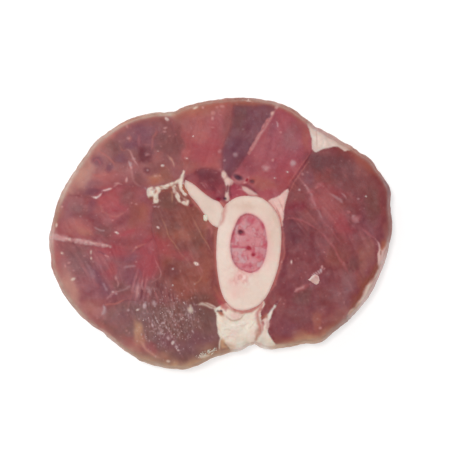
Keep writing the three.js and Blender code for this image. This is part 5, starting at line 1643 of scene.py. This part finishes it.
dice = np.random.default_rng(90)
fat_crumbs = []
for _ in range(CRUMB_COUNT):
    share = dice.uniform(0, 1)
    pixel = [a + share * (b - a) + dice.normal(0, CRUMB_SCATTER) for a, b in zip(*CRUMB_ROW)]
    fat_crumbs.append((pixel, dice.uniform(0.10, 0.24), dice.uniform(1.0, 1.8)))
dust = [(pixel, dice.uniform(0.14, 0.26), dice.uniform(1.1, 1.8)) for pixel in BONE_DUST]
for _ in range(DUST_COUNT):
    pixel = [dice.normal(middle, spread) for middle, spread in zip(DUST_MIDDLE, DUST_SCATTER)]
    dust.append((pixel, dice.uniform(0.08, 0.17), dice.uniform(1, 2)))
crumbs("crumbs_at_the_fat", fat_crumbs, "cream", "fat", 0.6, 91)
crumbs("bone_dust", dust, "pale_pink", "bone", 0.4, 92)
crumbs("nub_of_fat", [NUB], "cream", "fat", 0.40, 175)
scrap("flake_of_sinew", FLAKE, 0.26, "blush_pale", "sinew", FLAKE_MARKS_AND_HIGHLIGHTS, 94)
scrap("film_by_the_bone", FILM, 0.04, "rust", "meat", (), 95)


# Camera, light and the white sheet

LENS = 400.0
SENSOR = 36.0
middle = place((PHOTO_WIDTH / 2, PHOTO_WIDTH / 2))
camera_data = bpy.data.cameras.new("camera")
camera_data.lens = LENS
camera_data.sensor_width = SENSOR
camera = bpy.data.objects.new("camera", camera_data)
distance = PHOTO_WIDTH * PHOTO_PIXEL * LENS / SENSOR
camera.location = (middle[0] * MM, middle[1] * MM, (THICKNESS + distance) * MM)
bpy.context.scene.collection.objects.link(camera)
bpy.context.scene.camera = camera
bpy.context.scene.view_settings.view_transform = "Standard"

SKY = 0.42
LIGHTS = (
    # name, strength, angular size, and the direction that it comes from
    ("window", 0.50, 24, (-0.38, 0.36, 1.0)),
    ("ceiling", 1.42, 5, (-0.08, 0.07, 1.0)),
)
world = bpy.data.worlds.new("white_room")
world.use_nodes = True
world.node_tree.nodes["Background"].inputs["Color"].default_value = grey(1.0)
world.node_tree.nodes["Background"].inputs["Strength"].default_value = SKY
bpy.context.scene.world = world
for name, strength, size, direction in LIGHTS:
    data = bpy.data.lights.new(name, "SUN")
    data.energy = strength
    data.angle = math.radians(size)
    lamp = bpy.data.objects.new(name, data)
    lamp.rotation_euler = Vector(direction).to_track_quat("Z", "Y").to_euler()
    bpy.context.scene.collection.objects.link(lamp)

# The sheet glows a little, so that it stays white while the slice's shadow shows
SHEET_HALF = 2000.0
SHEET_Z = -0.05
SHEET_CORNERS = ((-1, -1), (1, -1), (1, 1), (-1, 1))
SHEET_GREY = 0.50
SHEET_GLOW = 0.60
sheet_mesh = bpy.data.meshes.new("sheet")
corners = [(x * SHEET_HALF * MM, y * SHEET_HALF * MM, SHEET_Z * MM) for x, y in SHEET_CORNERS]
sheet_mesh.from_pydata(corners, [], [(0, 1, 2, 3)])
sheet = bpy.data.objects.new("sheet", sheet_mesh)
bpy.context.scene.collection.objects.link(sheet)
paper = bpy.data.materials.new("paper")
paper.use_nodes = True
tree = paper.node_tree
tree.nodes.clear()
matt = node(tree, "ShaderNodeBsdfDiffuse", {"Color": grey(SHEET_GREY)})
lit = node(tree, "ShaderNodeEmission", {"Color": grey(1.0), "Strength": SHEET_GLOW})
both = node(tree, "ShaderNodeAddShader", {0: matt.outputs[0], 1: lit.outputs[0]})
node(tree, "ShaderNodeOutputMaterial", {"Surface": both.outputs[0]})
sheet_mesh.materials.append(paper)
